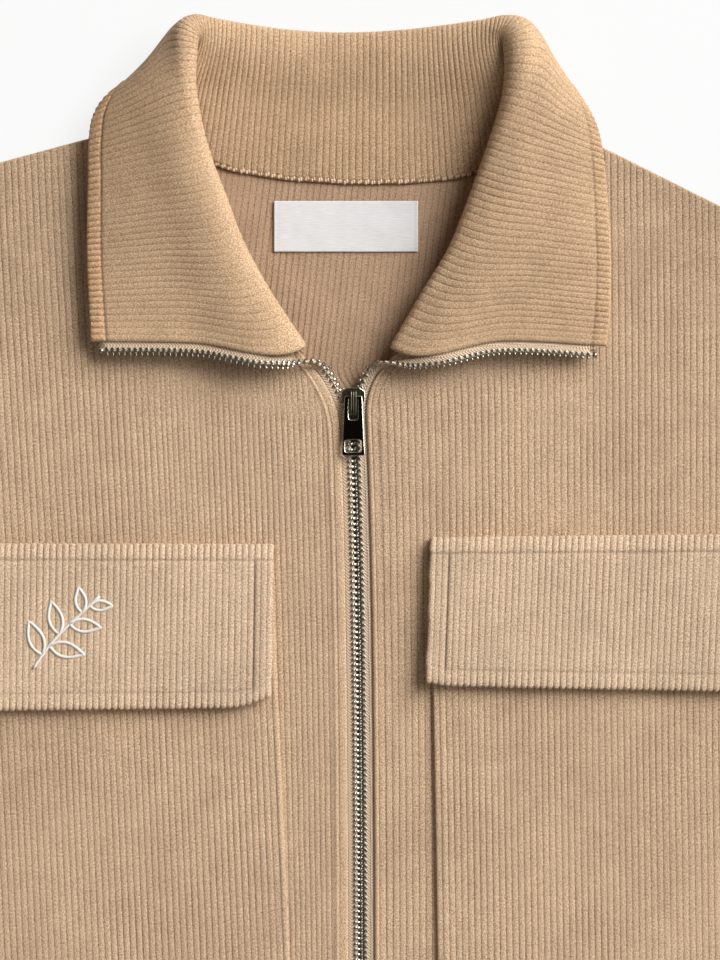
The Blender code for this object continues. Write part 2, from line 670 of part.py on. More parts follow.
def slider_place():
    """X and Z of the slider's middle, which is level with the tapes."""
    y = (SLIDER_TOP + SLIDER_BOTTOM) / 2
    z = sum(float(front_z(side, edge_x(side, y), y)) for side in SIDES.values()) / 2
    return float(zip_x(y)), z - TAPE_DROP


def slider_outline(shrink=0.0):
    """Plan of the slider: shoulders at the top, narrower towards the closed chain."""
    x = slider_place()[0]
    wide, narrow = SLIDER_WIDE / 2 - shrink, SLIDER_NARROW / 2 - shrink
    shoulder, waist = SLIDER_TOP - 1.6, SLIDER_TOP - 5.2
    return [
        (x - narrow, SLIDER_BOTTOM), (x + narrow, SLIDER_BOTTOM), (x + narrow, waist - 2.0),
        (x + wide, waist), (x + wide, shoulder), (x + wide - 2.2, SLIDER_TOP),
        (x - wide + 2.2, SLIDER_TOP), (x - wide, shoulder), (x - wide, waist),
        (x - narrow, waist - 2.0),
    ]


def box(name, centre, size, finish):
    (x, y, z), (wide, long, high) = centre, size
    outline = [
        (x - wide / 2, y - long / 2), (x + wide / 2, y - long / 2),
        (x + wide / 2, y + long / 2), (x - wide / 2, y + long / 2),
    ]
    return slab(name, outline, z - high / 2, z + high / 2, finish)


def make_slider(finish):
    """Two plates joined by a post, with an arch on top that holds the pull."""
    x, middle_z = slider_place()
    upper, lower = middle_z + SLIDER_SLOT, middle_z - SLIDER_SLOT
    made = slab("zip_slider", slider_outline(), upper, upper + SLIDER_PLATE, finish, 0.2)
    under = slab("lower_plate", slider_outline(0.3), lower - SLIDER_PLATE, lower, finish)
    post = box(
        "post",
        (x, SLIDER_TOP - POST_LENGTH / 2 - 0.5, middle_z),
        (POST_WIDTH, POST_LENGTH, 2 * SLIDER_SLOT + SLIDER_PLATE),
        finish,
    )
    top = upper + SLIDER_PLATE
    middle, length = (BRIDGE_TOP + BRIDGE_BOTTOM) / 2, BRIDGE_TOP - BRIDGE_BOTTOM
    arch = box(
        "arch",
        (x, middle, top + (BRIDGE_RISE + BRIDGE_WALL) / 2 - 0.2),
        (BRIDGE_WIDTH, length, BRIDGE_RISE + BRIDGE_WALL + 0.4),
        finish,
    )
    hollow = box(
        "arch_hollow",
        (x, middle, top + BRIDGE_RISE / 2),
        (BRIDGE_WIDTH + 2, length - 2 * BRIDGE_WALL, BRIDGE_RISE),
        finish,
    )
    combine(arch, "DIFFERENCE", hollow)
    for other in (post, under, arch):
        combine(made, "UNION", other)
    return made


def make_pull(finish):
    """A flat tab with a slot round the slider's arch and a crossbar through it."""
    x, middle_z = slider_place()
    top = PULL_BAR + 0.1
    length = HINGE_Y - PULL_END
    narrow, wide = PULL_NARROW / 2, PULL_WIDE / 2
    outline = [
        (-wide + 1.0, -length), (wide - 1.0, -length), (wide, -length + 1.0),
        (narrow, top - 0.6), (narrow - 0.6, top), (-narrow + 0.6, top), (-narrow, top - 0.6),
        (-wide, -length + 1.0),
    ]
    made = slab("zip_pull", outline, -PULL_WALL / 2, PULL_WALL / 2, finish, 0.15)
    slot = box(
        "pull_slot", (0.0, -PULL_SLOT_LENGTH / 2, 0.0), (PULL_SLOT, PULL_SLOT_LENGTH, 3.0), finish
    )
    # Above the slot the head is open, and the crossbar closes it.
    mouth = box("pull_mouth", (0.0, 0.5, 0.0), (PULL_SLOT, 1.6, 3.0), finish)
    window_y = -length + PULL_WINDOW_FROM_END + PULL_WINDOW[1] / 2
    window = box("pull_window", (0.0, window_y, 0.0), (*PULL_WINDOW, 3.0), finish)
    for cutter in (slot, mouth, window):
        combine(made, "DIFFERENCE", cutter)
    bar = bmesh.new()
    bmesh.ops.create_cone(
        bar, cap_ends=True, segments=8, radius1=PULL_BAR * MM, radius2=PULL_BAR * MM,
        depth=(PULL_SLOT + 1.2) * MM,
    )
    turn = [(0.0, 0.0, 1.0), (0.0, 1.0, 0.0), (-1.0, 0.0, 0.0)]
    for vertex in bar.verts:
        vertex.co = [sum(a * b for a, b in zip(line, vertex.co)) for line in turn]
    bar_mesh = bpy.data.meshes.new("crossbar")
    bar.to_mesh(bar_mesh)
    bar.free()
    crossbar = add("crossbar", bar_mesh, finish)
    combine(made, "UNION", crossbar)
    hinge = bpy.data.objects.new("pull_hinge", None)
    bpy.context.scene.collection.objects.link(hinge)
    height = middle_z + SLIDER_SLOT + SLIDER_PLATE + HINGE_RISE
    hinge.location = (x * MM, HINGE_Y * MM, height * MM)
    hinge.rotation_euler = (math.radians(PULL_LEAN), 0.0, 0.0)
    for piece in (made, slot, mouth, window, crossbar):
        piece.parent = hinge
    return made


def make_zip_box(finish):
    y = TAPE_BOTTOM - SEAM - ZIP_BOX[1] / 2
    z = float(front_z(SIDES["left"], edge_x(SIDES["left"], y), y)) - TAPE_DROP
    return box("zip_box", (float(zip_x(y)), y, z), ZIP_BOX, finish)


def make_label(finish):
    x = np.linspace(LABEL["left"], LABEL["right"], 4)
    y = np.linspace(LABEL["bottom"], LABEL["top"], 3)
    x, y = np.meshgrid(x, y)
    z = np.full_like(x, CLOTH + SEAM + LABEL_WALL / 2)
    return flat_sheet("label", np.stack([x, y, z], axis=-1), LABEL_WALL, finish)


def main():
    for old in list(bpy.data.objects):
        bpy.data.objects.remove(old)
    corduroy = material("corduroy", (0.54, 0.36, 0.23), 0.9)
    tape = material("zip_tape", (0.62, 0.48, 0.36), 0.85)
    satin = material("label_satin", (0.8, 0.8, 0.8), 0.5)
    gunmetal = material("gunmetal", (0.16, 0.15, 0.14), 0.3, 1.0)
    make_back(corduroy)
    for name, side in SIDES.items():
        make_front(name, side, corduroy)
        make_pocket(name, side, corduroy)
        make_sleeve(name, side, corduroy)
        make_tape(name, tape)
    make_collar(corduroy)
    make_slider(gunmetal)
    make_pull(gunmetal)
    make_zip_box(gunmetal)
    make_label(satin)


main()
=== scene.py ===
# %% [markdown]
# # A zip-front corduroy jacket, laid out flat
#
# The jacket lies on its back on a pale table, photographed from straight above. Its body is
# cut from wide-wale corduroy: a cotton cloth with rows of cut pile, the wales, and narrow
# bare grooves between them. The solids that come with the frame say where every cut piece
# lies. This script dresses them: it rebuilds each piece as cloth with real wales, and adds
# the zip's teeth, the sewing and the finishes.

# %% Load the frame
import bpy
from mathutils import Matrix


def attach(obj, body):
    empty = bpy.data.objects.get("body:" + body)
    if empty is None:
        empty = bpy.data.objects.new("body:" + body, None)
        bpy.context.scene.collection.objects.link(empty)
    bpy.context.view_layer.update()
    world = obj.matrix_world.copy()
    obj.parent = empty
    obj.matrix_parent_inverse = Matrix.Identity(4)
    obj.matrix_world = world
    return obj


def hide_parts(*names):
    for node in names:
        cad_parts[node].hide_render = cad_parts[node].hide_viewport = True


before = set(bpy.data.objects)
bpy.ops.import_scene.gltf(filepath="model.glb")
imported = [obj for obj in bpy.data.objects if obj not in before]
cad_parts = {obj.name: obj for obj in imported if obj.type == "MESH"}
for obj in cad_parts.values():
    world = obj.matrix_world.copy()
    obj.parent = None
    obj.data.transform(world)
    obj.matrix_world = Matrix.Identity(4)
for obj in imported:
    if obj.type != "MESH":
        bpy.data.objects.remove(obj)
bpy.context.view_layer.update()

import math

import bmesh
import bpy
import numpy as np

# %% [markdown]
# ## Camera, table and light
#
# The camera hangs straight above the chest, far enough away that the thick collar hardly
# looks larger than the flat body. A long lens then frames 300 by 400 mm of the jacket.
# The table is a light table, which glows evenly. One large soft lamp stands low to the
# upper right, so shadows fall to the lower left and fade out slowly. Two small cards show
# only in the polished metal, and a faint sky fills the shadows.

# %% Camera
MM = 0.001  # the sizes below are in millimetres
VIEW_MIDDLE = (1.25, 162.1)
VIEW_HEIGHT_ABOVE = 1600.0
VIEW_LONG_SIDE = 400.0  # of the jacket, along the picture's longer side
SENSOR = 36.0

camera = bpy.data.objects.new("camera", bpy.data.cameras.new("camera"))
camera.data.sensor_width = SENSOR
camera.data.lens = SENSOR * VIEW_HEIGHT_ABOVE / VIEW_LONG_SIDE
camera.location = (VIEW_MIDDLE[0] * MM, VIEW_MIDDLE[1] * MM, VIEW_HEIGHT_ABOVE * MM)
bpy.context.scene.collection.objects.link(camera)
bpy.context.scene.camera = camera
bpy.context.scene.view_settings.view_transform = "Standard"
print("lens", round(camera.data.lens, 1), "mm")


# %% Colours and nodes
def hex_colour(code):
    """An sRGB hex colour as the linear red, green, blue and alpha that shaders use."""
    channels = [int(code[i:i + 2], 16) / 255 for i in (1, 3, 5)]
    linear = [c / 12.92 if c <= 0.04045 else ((c + 0.055) / 1.055) ** 2.4 for c in channels]
    return (*linear, 1.0)


def add_node(tree, kind, sockets=(), **settings):
    """Adds a node, sets it, and fills its sockets with values or with links."""
    made = tree.nodes.new(f"ShaderNode{kind}")
    for key, value in settings.items():
        setattr(made, key, value)
    for key, value in dict(sockets).items():
        if isinstance(value, bpy.types.NodeSocket):
            tree.links.new(value, made.inputs[key])
        else:
            made.inputs[key].default_value = value
    return made


def new_material(name, **sockets):
    """A material whose Principled shader has these socket values."""
    made = bpy.data.materials.new(name)
    made.use_nodes = True
    shader = made.node_tree.nodes["Principled BSDF"]
    for key, value in sockets.items():
        shader.inputs[key.replace("_", " ")].default_value = value
    return made, made.node_tree, shader


# %% Table, lamps and sky
LAMPS = [
    # name, elevation, azimuth from +X towards +Y, distance, size, watts
    ("lamp", 34.0, 37.0, 4500.0, 3400.0, 322.0),
    ("near_card", 42.0, -90.0, 2200.0, 700.0, 5.0),
    ("side_card", 45.0, 2.0, 3500.0, 900.0, 15.0),
]
SKY = 0.12
TABLE_GLOW = 0.836
TABLE_HALF, TABLE_LOW = 3.0, 0.0002  # metres; it lies a hair below the cloth

table_bm = bmesh.new()
bmesh.ops.create_grid(table_bm, x_segments=2, y_segments=2, size=TABLE_HALF)
bmesh.ops.translate(table_bm, verts=table_bm.verts[:], vec=(0.0, 0.0, -TABLE_LOW))
table_mesh = bpy.data.meshes.new("table")
table_bm.to_mesh(table_mesh)
table_bm.free()
table = bpy.data.objects.new("table", table_mesh)
bpy.context.scene.collection.objects.link(table)
# A light table: it glows evenly, so the jacket's shadows hardly mark it.
table_mesh.materials.append(new_material(
    "light_table", Base_Color=hex_colour("#5A5A5A"), Roughness=0.9,
    Emission_Color=hex_colour("#FFFFFF"), Emission_Strength=TABLE_GLOW,
)[0])


def add_lamp(name, elevation, azimuth, distance, size, watts):
    """A round soft light that faces the middle of the view."""
    light = bpy.data.objects.new(name, bpy.data.lights.new(name, "AREA"))
    light.data.shape = "DISK"
    light.data.size = size * MM
    light.data.energy = watts
    tilt, turn = math.radians(elevation), math.radians(azimuth)
    way = np.array([
        math.cos(tilt) * math.cos(turn), math.cos(tilt) * math.sin(turn), math.sin(tilt)
    ])
    light.location = np.array([*VIEW_MIDDLE, 0.0]) * MM + way * distance * MM
    light.rotation_euler = (math.pi / 2 - tilt, 0.0, turn + math.pi / 2)
    bpy.context.scene.collection.objects.link(light)


for lamp in LAMPS:
    add_lamp(*lamp)

world = bpy.data.worlds.new("sky")
world.use_nodes = True
world.node_tree.nodes["Background"].inputs["Color"].default_value = hex_colour("#FFF3E8")
world.node_tree.nodes["Background"].inputs["Strength"].default_value = SKY
bpy.context.scene.world = world
print("table,", len(LAMPS), "lamps and a sky")

# %% [markdown]
# ## Corduroy
#
# Corduroy is woven cotton with extra threads that are cut and brushed up into wales. The
# pile is matt with a soft sheen, its cut ends speckle it light and dark, and the bare
# grooves between the wales are a deeper brown. The wales themselves are modelled, because
# their round backs and shadowed grooves are what the eye reads. The material adds what is
# finer: the speckle, the fuzz and the groove's brown line, which also paints shade into the
# groove. It follows the cloth's own UV map, where U counts millimetres across the wales and
# V runs along them. Through the cloth's look, each piece also paints highlights and shade
# along its edges, seams and folds.

# %% The corduroy materials
WALE = 2.65  # from one groove to the next
GROOVE_SHADE_LINE = (0.06, 0.34)  # groove line of brown and painted shade: where it starts to fade, and where it ends
PILE_SPECK = 0.36  # of a tuft of cut pile; finer ones would vanish in the picture
PILE_RUN = (0.34, 0.8)  # tufts lie in short runs: their width, and their length down the wale
STRAY, LEANING = 0.8, 1.3  # fibres that stray over a groove, and pile that leans over it
MOTTLE, PATCH, DRIFT = 9.0, 22.0, 50.0  # sizes of the nap's unevenness, from small to large
FUZZ = 0.22  # height of the brushed fibre ends
WARM = hex_colour("#C2935F")  # where the nap is rubbed up along sewn edges


def corduroy(name, dark, light, groove_colour_and_shade, wale=WALE, groove_shade_share=0.7):
    """Cut-pile cotton: rough, with the velvety sheen of fibre ends."""
    made, tree, shader = new_material(
        name, Roughness=0.92, Specular_IOR_Level=0.2, Sheen_Weight=0.3,
        Sheen_Roughness=0.45, Sheen_Tint=hex_colour("#F0DCC2"),
    )

    def noise(place, scale, detail):
        """Soft random values that change over a length of 1 / scale."""
        sockets = {"Vector": place, "Scale": scale, "Detail": detail, "Roughness": 0.6}
        return add_node(tree, "TexNoise", sockets).outputs["Fac"]

    def spread(value, low, high, to_low=0.0, to_high=1.0):
        """Eases a value from one range into another, and holds it within."""
        sockets = {
            "Value": value, "From Min": low, "From Max": high, "To Min": to_low, "To Max": to_high,
        }
        made = add_node(tree, "MapRange", sockets, interpolation_type="SMOOTHSTEP")
        return made.outputs[0]

    def maths(operation, first, second):
        """One operation on two values."""
        return add_node(tree, "Math", {0: first, 1: second}, operation=operation).outputs[0]

    def blend(share, first, second):
        """The first colour, with a share of the second."""
        sockets = {0: share, 6: first, 7: second}
        return add_node(tree, "Mix", sockets, data_type="RGBA").outputs[2]

    across = add_node(tree, "UVMap", uv_map="cloth").outputs["UV"]
    place = add_node(tree, "TexCoord").outputs["Object"]
    speck = noise(place, 1 / (PILE_SPECK * MM), 1.5)
    stretched = add_node(
        tree, "Mapping", {"Vector": across, "Scale": (1 / PILE_RUN[0], 1 / PILE_RUN[1], 1.0)}
    ).outputs[0]
    runs = noise(stretched, 1.0, 1.0)
    pile = spread(maths("ADD", speck, runs), 0.8, 1.2)
    colour = blend(pile, hex_colour(dark), hex_colour(light))
    # Each piece says, point by point, how light, how warm and how rubbed its nap is. How light
    # also carries painted highlights and painted shade along edges, stitching and folds.
    look = add_node(tree, "Attribute", attribute_name="look").outputs["Vector"]
    look = add_node(tree, "SeparateXYZ", {"Vector": look}).outputs
    # The groove's line, brown with painted shade: how near the closest one is, in millimetres,
    # broken up by stray fibres.
    count_across = add_node(tree, "SeparateXYZ", {"Vector": across}).outputs["X"]
    from_groove = maths("PINGPONG", count_across, wale / 2)
    stray = spread(noise(place, 1 / (STRAY * MM), 2.0), 0.3, 0.7, -0.16, 0.16)
    line = spread(maths("ADD", from_groove, stray), *GROOVE_SHADE_LINE, groove_shade_share, 0.0)
    patches = spread(noise(place, 1 / (PATCH * MM), 2.0), 0.35, 0.6, 0.6, 1.0)
    # Pile that leans over it hides the groove here and there.
    short = add_node(
        tree, "Mapping", {"Vector": across, "Scale": (1 / wale, 1 / LEANING, 1.0)}
    ).outputs[0]
    patches = maths("MULTIPLY", patches, spread(noise(short, 1.0, 1.0), 0.36, 0.6, 0.4, 1.15))
    kept = maths("SUBTRACT", 1.0, look["Z"])
    line = maths("MULTIPLY", maths("MULTIPLY", line, patches), kept)
    # The groove's own brown, deepened as painted shade.
    colour = blend(line, colour, hex_colour(groove_colour_and_shade))
    warmed = add_node(
        tree, "Mix", {0: 1.0, 6: colour, 7: WARM}, data_type="RGBA", blend_type="SOFT_LIGHT"
    ).outputs[2]
    colour = blend(look["Y"], colour, warmed)
    # The nap lies a little differently from place to place.
    drift = spread(noise(place, 1 / (DRIFT * MM), 3.0), 0.3, 0.7, 0.93, 1.06)
    mottle = spread(noise(place, 1 / (MOTTLE * MM), 2.0), 0.3, 0.7, -0.045, 0.045)
    level = maths("ADD", maths("ADD", drift, mottle), look["X"])
    colour = add_node(tree, "VectorMath", {0: colour, "Scale": level}, operation="SCALE").outputs[0]
    tree.links.new(colour, shader.inputs["Base Color"])
    fuzz = add_node(tree, "Bump", {"Height": pile, "Strength": 0.5, "Distance": FUZZ * MM})
    tree.links.new(fuzz.outputs[0], shader.inputs["Normal"])
    return made


CORDUROY = {
    "body": corduroy("corduroy_body", "#AA8667", "#E1C7A8", "#74512F", groove_shade_share=0.6),
    "flap": corduroy("corduroy_flap", "#B29173", "#EAD3B7", "#80593A", groove_shade_share=0.55),
    "collar": corduroy("corduroy_collar", "#A68160", "#DABD9A", "#765236", groove_shade_share=0.58),
    "inside": corduroy("corduroy_inside", "#A28166", "#C6A98C", "#7E6149", wale=2.6),
}
print("corduroy:", sorted(CORDUROY))

# %% [markdown]
# ## How a piece of cloth is made
#
# Every cut piece is a closed wall, 1.8 mm thick. Its outer face is a fine grid, six steps
# to a wale, so that a wale's round back and its narrow groove both show. Its hidden face is
# a grid four times coarser, and one `bridge_loops` joins the two round the rim. A small
# table of named sizes and a few curves say where the middle of the wall lies. They are the
# ones that the solids were made from, so the cloth lies exactly on them.

# %% Curves and noise
def spline(knots, values, at):
    """A smooth curve through a table's values, read at the places in `at`."""
    knots, values, at = (np.asarray(v, float) for v in (knots, values, at))
    slope = np.gradient(values, knots, axis=0)
    i = np.clip(np.searchsorted(knots, at, side="right") - 1, 0, len(knots) - 2)
    width = knots[i + 1] - knots[i]
    t = (at - knots[i]) / width
    if values.ndim > 1:
        t, width = t[..., None], width[..., None]
    return (
        (2 * t**3 - 3 * t**2 + 1) * values[i]
        + (t**3 - 2 * t**2 + t) * width * slope[i]
        + (3 * t**2 - 2 * t**3) * values[i + 1]
        + (t**3 - t**2) * width * slope[i + 1]
    )


def ease(t):
    """0 to 1 with a smooth start and end."""
    t = np.clip(t, 0.0, 1.0)
    return t * t * (3 - 2 * t)


def unevenness(u, v, wide, long, seed):
    """Smooth random values from -1 to 1, in lumps about wide by long across."""
    values = np.random.default_rng(seed).uniform(-1.0, 1.0, (64, 64))
    a, b = np.asarray(u, float) / wide, np.asarray(v, float) / long
    i, j = np.floor(a).astype(int), np.floor(b).astype(int)
    s, t = ease(a - i), ease(b - j)
    corner = [values[(i + di) % 64, (j + dj) % 64] for di in (0, 1) for dj in (0, 1)]
    first, second = corner[0] * (1 - t) + corner[1] * t, corner[2] * (1 - t) + corner[3] * t
    return first * (1 - s) + second * s


def ridge(x, y, row):
    """Height at (x, y) of one soft fold, given as (x, y, angle, length, width, height)."""
    fold_x, fold_y, angle, length, width, height = row
    c, s = math.cos(math.radians(angle)), math.sin(math.radians(angle))
    along = (x - fold_x) * c + (y - fold_y) * s
    across = (y - fold_y) * c - (x - fold_x) * s
    return height * np.exp(-((along / length) ** 2) - (across / width) ** 2)


# %% Wales
CLOTH, DOUBLED = 1.8, 3.0  # walls: one layer of corduroy, and two sewn together
WALE_STEPS = (0.0, 0.08, 0.18, 0.5, 0.82, 0.92)  # where a wale's grid lines are, as shares
WALE_HEIGHT = 0.29
WALE_PROUD = 0.1  # how far its top stands over the plain wall
GROOVE_FLANK = 0.085  # how wide each side of a groove is, as a share of the wale
CROWN = 0.14  # the share of a wale's height that rises evenly to its middle
LUMPS = 0.02  # how uneven the cut ends of the pile are
EDGE_FINE, EDGE_CLEAR = (0.35, 0.9, 1.8), 2.6  # lines near an edge; the even ones stay clear
HIDDEN_SHARE = 4  # the hidden face has one grid step to four of the outer face's


def wale_lines(width, wale=WALE):
    """Grid lines across whole wales that fill this width."""
    count = max(int(round(width / wale)), 1)
    lines = [(k + share) for k in range(count) for share in WALE_STEPS] + [count]
    return np.array(lines) * width / count, width / count


def wale_relief(u, v, wale, height=WALE_HEIGHT, seed=1):
    """Height over the wall's outer face: round backs, narrow grooves, a little uneven."""
    phase = u / wale
    from_groove = np.abs(phase - np.round(phase))
    back = 1 - np.exp(-((from_groove / GROOVE_FLANK) ** 2))
    crown = 4 * from_groove * (1 - from_groove)
    depth = height * (0.9 + 0.2 * unevenness(phase, v, 1.0, 9.0, seed))
    depth = depth * (1 + 0.3 * unevenness(u, v, 17.0, 24.0, seed + 2))
    lumps = LUMPS * unevenness(u, v, 1.6, 2.6, seed + 1)
    return WALE_PROUD + depth * ((1 - CROWN) * back + CROWN * crown - 1) + lumps


def steps_of_four(lines):
    """Adds grid lines in the widest gaps until the coarser face's steps fit."""
    lines = np.sort(np.asarray(lines, float))
    while (len(lines) - 1) % HIDDEN_SHARE:
        widest = int(np.argmax(np.diff(lines)))
        lines = np.insert(lines, widest + 1, (lines[widest] + lines[widest + 1]) / 2)
    return lines


def edge_lines(start, stop, step, fine=EDGE_FINE):
    """Lines at an even step, with closer ones where the wall's edges are rounded."""
    lines = np.linspace(start, stop, max(int(round((stop - start) / step)), 2) + 1)
    inner = lines[(lines > start + EDGE_CLEAR) & (lines < stop - EDGE_CLEAR)]
    return np.concatenate([[start, stop], start + np.array(fine), stop - np.array(fine), inner])


# %% A closed wall of cloth
RIM = 0.25  # how much of a wall's thickness is left at its rounded rim


def outward(middle):
    """The direction out of the cloth's face at each point of a net."""
    out = np.cross(np.gradient(middle, axis=1), np.gradient(middle, axis=0))
    return out / np.maximum(np.linalg.norm(out, axis=-1, keepdims=True), 1e-9)


def from_edges(middle):
    """How far each point of a net is from its nearest edge, along the cloth."""
    nearest = np.full(middle.shape[:2], np.inf)
    for axis in (0, 1):
        steps = np.linalg.norm(np.diff(middle, axis=axis), axis=-1)
        run = np.cumsum(steps, axis=axis)
        start = np.insert(run, 0, 0.0, axis=axis)
        whole = np.take(start, [-1], axis=axis)
        nearest = np.minimum(nearest, np.minimum(start, whole - start))
    return nearest


def cloth_wall(name, middle, relief, uv, wall, finish, look=None, rounding=1.3):
    """A closed wall round a net of middle points [row][column] in millimetres."""
    normal = outward(middle)
    inside = np.clip(from_edges(middle) / rounding, 0.0, 1.0)
    thick = RIM + (1 - RIM) * np.sqrt(1 - (1 - inside) ** 2)
    upper = middle + normal * ((wall / 2 + relief) * thick)[..., None]
    hidden = (slice(None, None, HIDDEN_SHARE), slice(None, None, HIDDEN_SHARE))
    lower = (middle - normal * (wall / 2 * thick)[..., None])[hidden]
    made = bmesh.new()
    for net in (upper, lower):
        grid = bmesh.ops.create_grid(
            made, x_segments=net.shape[1] - 1, y_segments=net.shape[0] - 1, size=1.0
        )["verts"]
        for vertex, point in zip(grid, net.reshape(-1, 3) * MM):
            vertex.co = point
    under = {face for vertex in grid for face in vertex.link_faces}
    bmesh.ops.reverse_faces(made, faces=list(under))
    rim = [edge for edge in made.edges if edge.is_boundary]
    bmesh.ops.bridge_loops(made, edges=rim)
    values = np.zeros(upper.shape) if look is None else look
    return finished(name, made, finish, [(uv, values), (uv[hidden], values[hidden])])


def finished(name, made, finish, maps=()):
    """Turns a bmesh into a piece of the scene, with its UV map and look where it has them."""
    mesh = bpy.data.meshes.new(name)
    made.to_mesh(mesh)
    made.free()
    mesh.shade_smooth()
    mesh.materials.append(finish)
    if maps:
        uv = np.concatenate([plane.reshape(-1, 2) for plane, _ in maps])
        look = np.concatenate([values.reshape(-1, 3) for _, values in maps])
        corner = np.zeros(len(mesh.loops), int)
        mesh.loops.foreach_get("vertex_index", corner)
        mesh.uv_layers.new(name="cloth").data.foreach_set("uv", uv[corner].ravel())
        points = mesh.attributes.new("look", "FLOAT_VECTOR", "POINT")
        points.data.foreach_set("vector", look.ravel())
    piece = bpy.data.objects.new(name, mesh)
    bpy.context.scene.collection.objects.link(piece)
    mesh.calc_loop_triangles()
    print(name, len(mesh.loop_triangles), "triangles")
    return piece


def nap(shape, tone=0.0, warm=0.0, rub=0.0):
    """How light, how warm and how rubbed the nap is at each point of a net; the lightness also
    carries painted highlight and painted shade.
    """
    return np.stack([np.broadcast_to(value, shape) for value in (tone, warm, rub)], axis=-1)


def near(distance, at, width):
    """1 at a distance, falling smoothly to 0 over about this width on both sides."""
    return np.exp(-(((distance - at) / width) ** 2))


# %% [markdown]
# ## The jacket's pattern
#
# These are the sizes that the pieces were cut and laid to, in millimetres: X across, Y from
# the hem to the collar. "left" and "right" are the viewer's. Each side has its zip edge,
# neck corner, shoulder, side seam, pocket and flap, and its sleeve.

# %% Sizes of the body
SEAM = 0.3
BACK_MID = CLOTH / 2
FRONT_LOW = BACK_MID + CLOTH + SEAM
FRONT_LOFT, LOFT_REACH = 1.5, 45.0
EDGE_RISE, EDGE_RISE_REACH = 0.5, 20.0
NECK_RISE, NECK_RISE_REACH, NECK_RISE_SQUASH = 1.6, 34.0, 0.8
SHOULDER_FROM, SHOULDER_OVER = 60.0, 40.0  # X where the shoulder starts to press the front flat
ZIP_X, ZIP_LEAN, ZIP_LEAN_TOP, ZIP_LEAN_REACH = 2.5, 4.3, 200.0, 80.0
HEM_Y, LEVEL_TOP = -310.0, 150.0
POCKET_BOTTOM, FLAP_LIFT, EDGE_PULL = -62.0, 1.6, 22.0
COLUMN_SAMPLES = 600  # places at which a column of the front's net is looked up

SIDES = {
    "left": {
        "out": -1.0,
        "edge": 5.9,
        "turn": 13.9,
        "turn_from": 182.0,
        "turn_over": 31.8,
        "turn_power": 2.0,
        "neck_corner": 213.8,
        "neck_point": (-87.0, 310.4),
        "neck_at": 118,
        "shoulder": [(-112.0, 304.0), (-149.0, 294.0), (-205.0, 278.5)],
        "tip": (-262.0, 261.0),
        "underarm": (-254.0, 72.0),
        "hem_corner": -246.0,
        "pocket": {"inner": -34.0, "outer": -182.0, "slant": 0.042},
        "flap": {"inner": -34.8, "outer": -186.0, "slant": -0.019, "top": 135.8, "bottom": 67.5},
        "sleeve": {"start": 22.0, "end": 56.0, "length": 500.0},
    },
    "right": {
        "out": 1.0,
        "edge": 5.0,
        "turn": 12.5,
        "turn_from": 186.0,
        "turn_over": 27.2,
        "turn_power": 2.6,
        "neck_corner": 213.2,
        "neck_point": (86.0, 309.0),
        "neck_at": 298,
        "shoulder": [(101.0, 301.0), (151.0, 276.0), (205.0, 250.5)],
        "tip": (256.0, 227.0),
        "underarm": (250.0, 44.0),
        "hem_corner": 250.0,
        "pocket": {"inner": 30.8, "outer": 184.0, "slant": 0.015},
        "flap": {"inner": 29.2, "outer": 186.0, "slant": -0.04, "top": 138.6, "bottom": 76.5},
        "sleeve": {"start": 32.0, "end": 64.0, "length": 500.0},
    },
}

FRONT_FOLDS = [
    # x, y, angle, length, width, height
    (-196.0, 96.0, 152.0, 62.0, 15.0, 1.5),
    (-214.0, -120.0, 98.0, 90.0, 16.0, 1.3),
    (-118.0, -196.0, 84.0, 95.0, 18.0, 1.1),
    (206.0, 70.0, 34.0, 64.0, 15.0, 1.6),
    (212.0, -96.0, 84.0, 84.0, 16.0, 1.2),
    (96.0, -214.0, 95.0, 86.0, 18.0, 1.2),
]

# %% [markdown]
# ## The collar's table
#
# The collar is one band, 90 mm wide, sewn round the neck. At the back it stands and folds
# over behind itself. Towards the fronts it turns down, until it lies flat as a leaf. Each
# row is a section of it: where it is sewn on, where it folds over and where its free edge
# lies, the radius of the fold, and which way the fall leans.

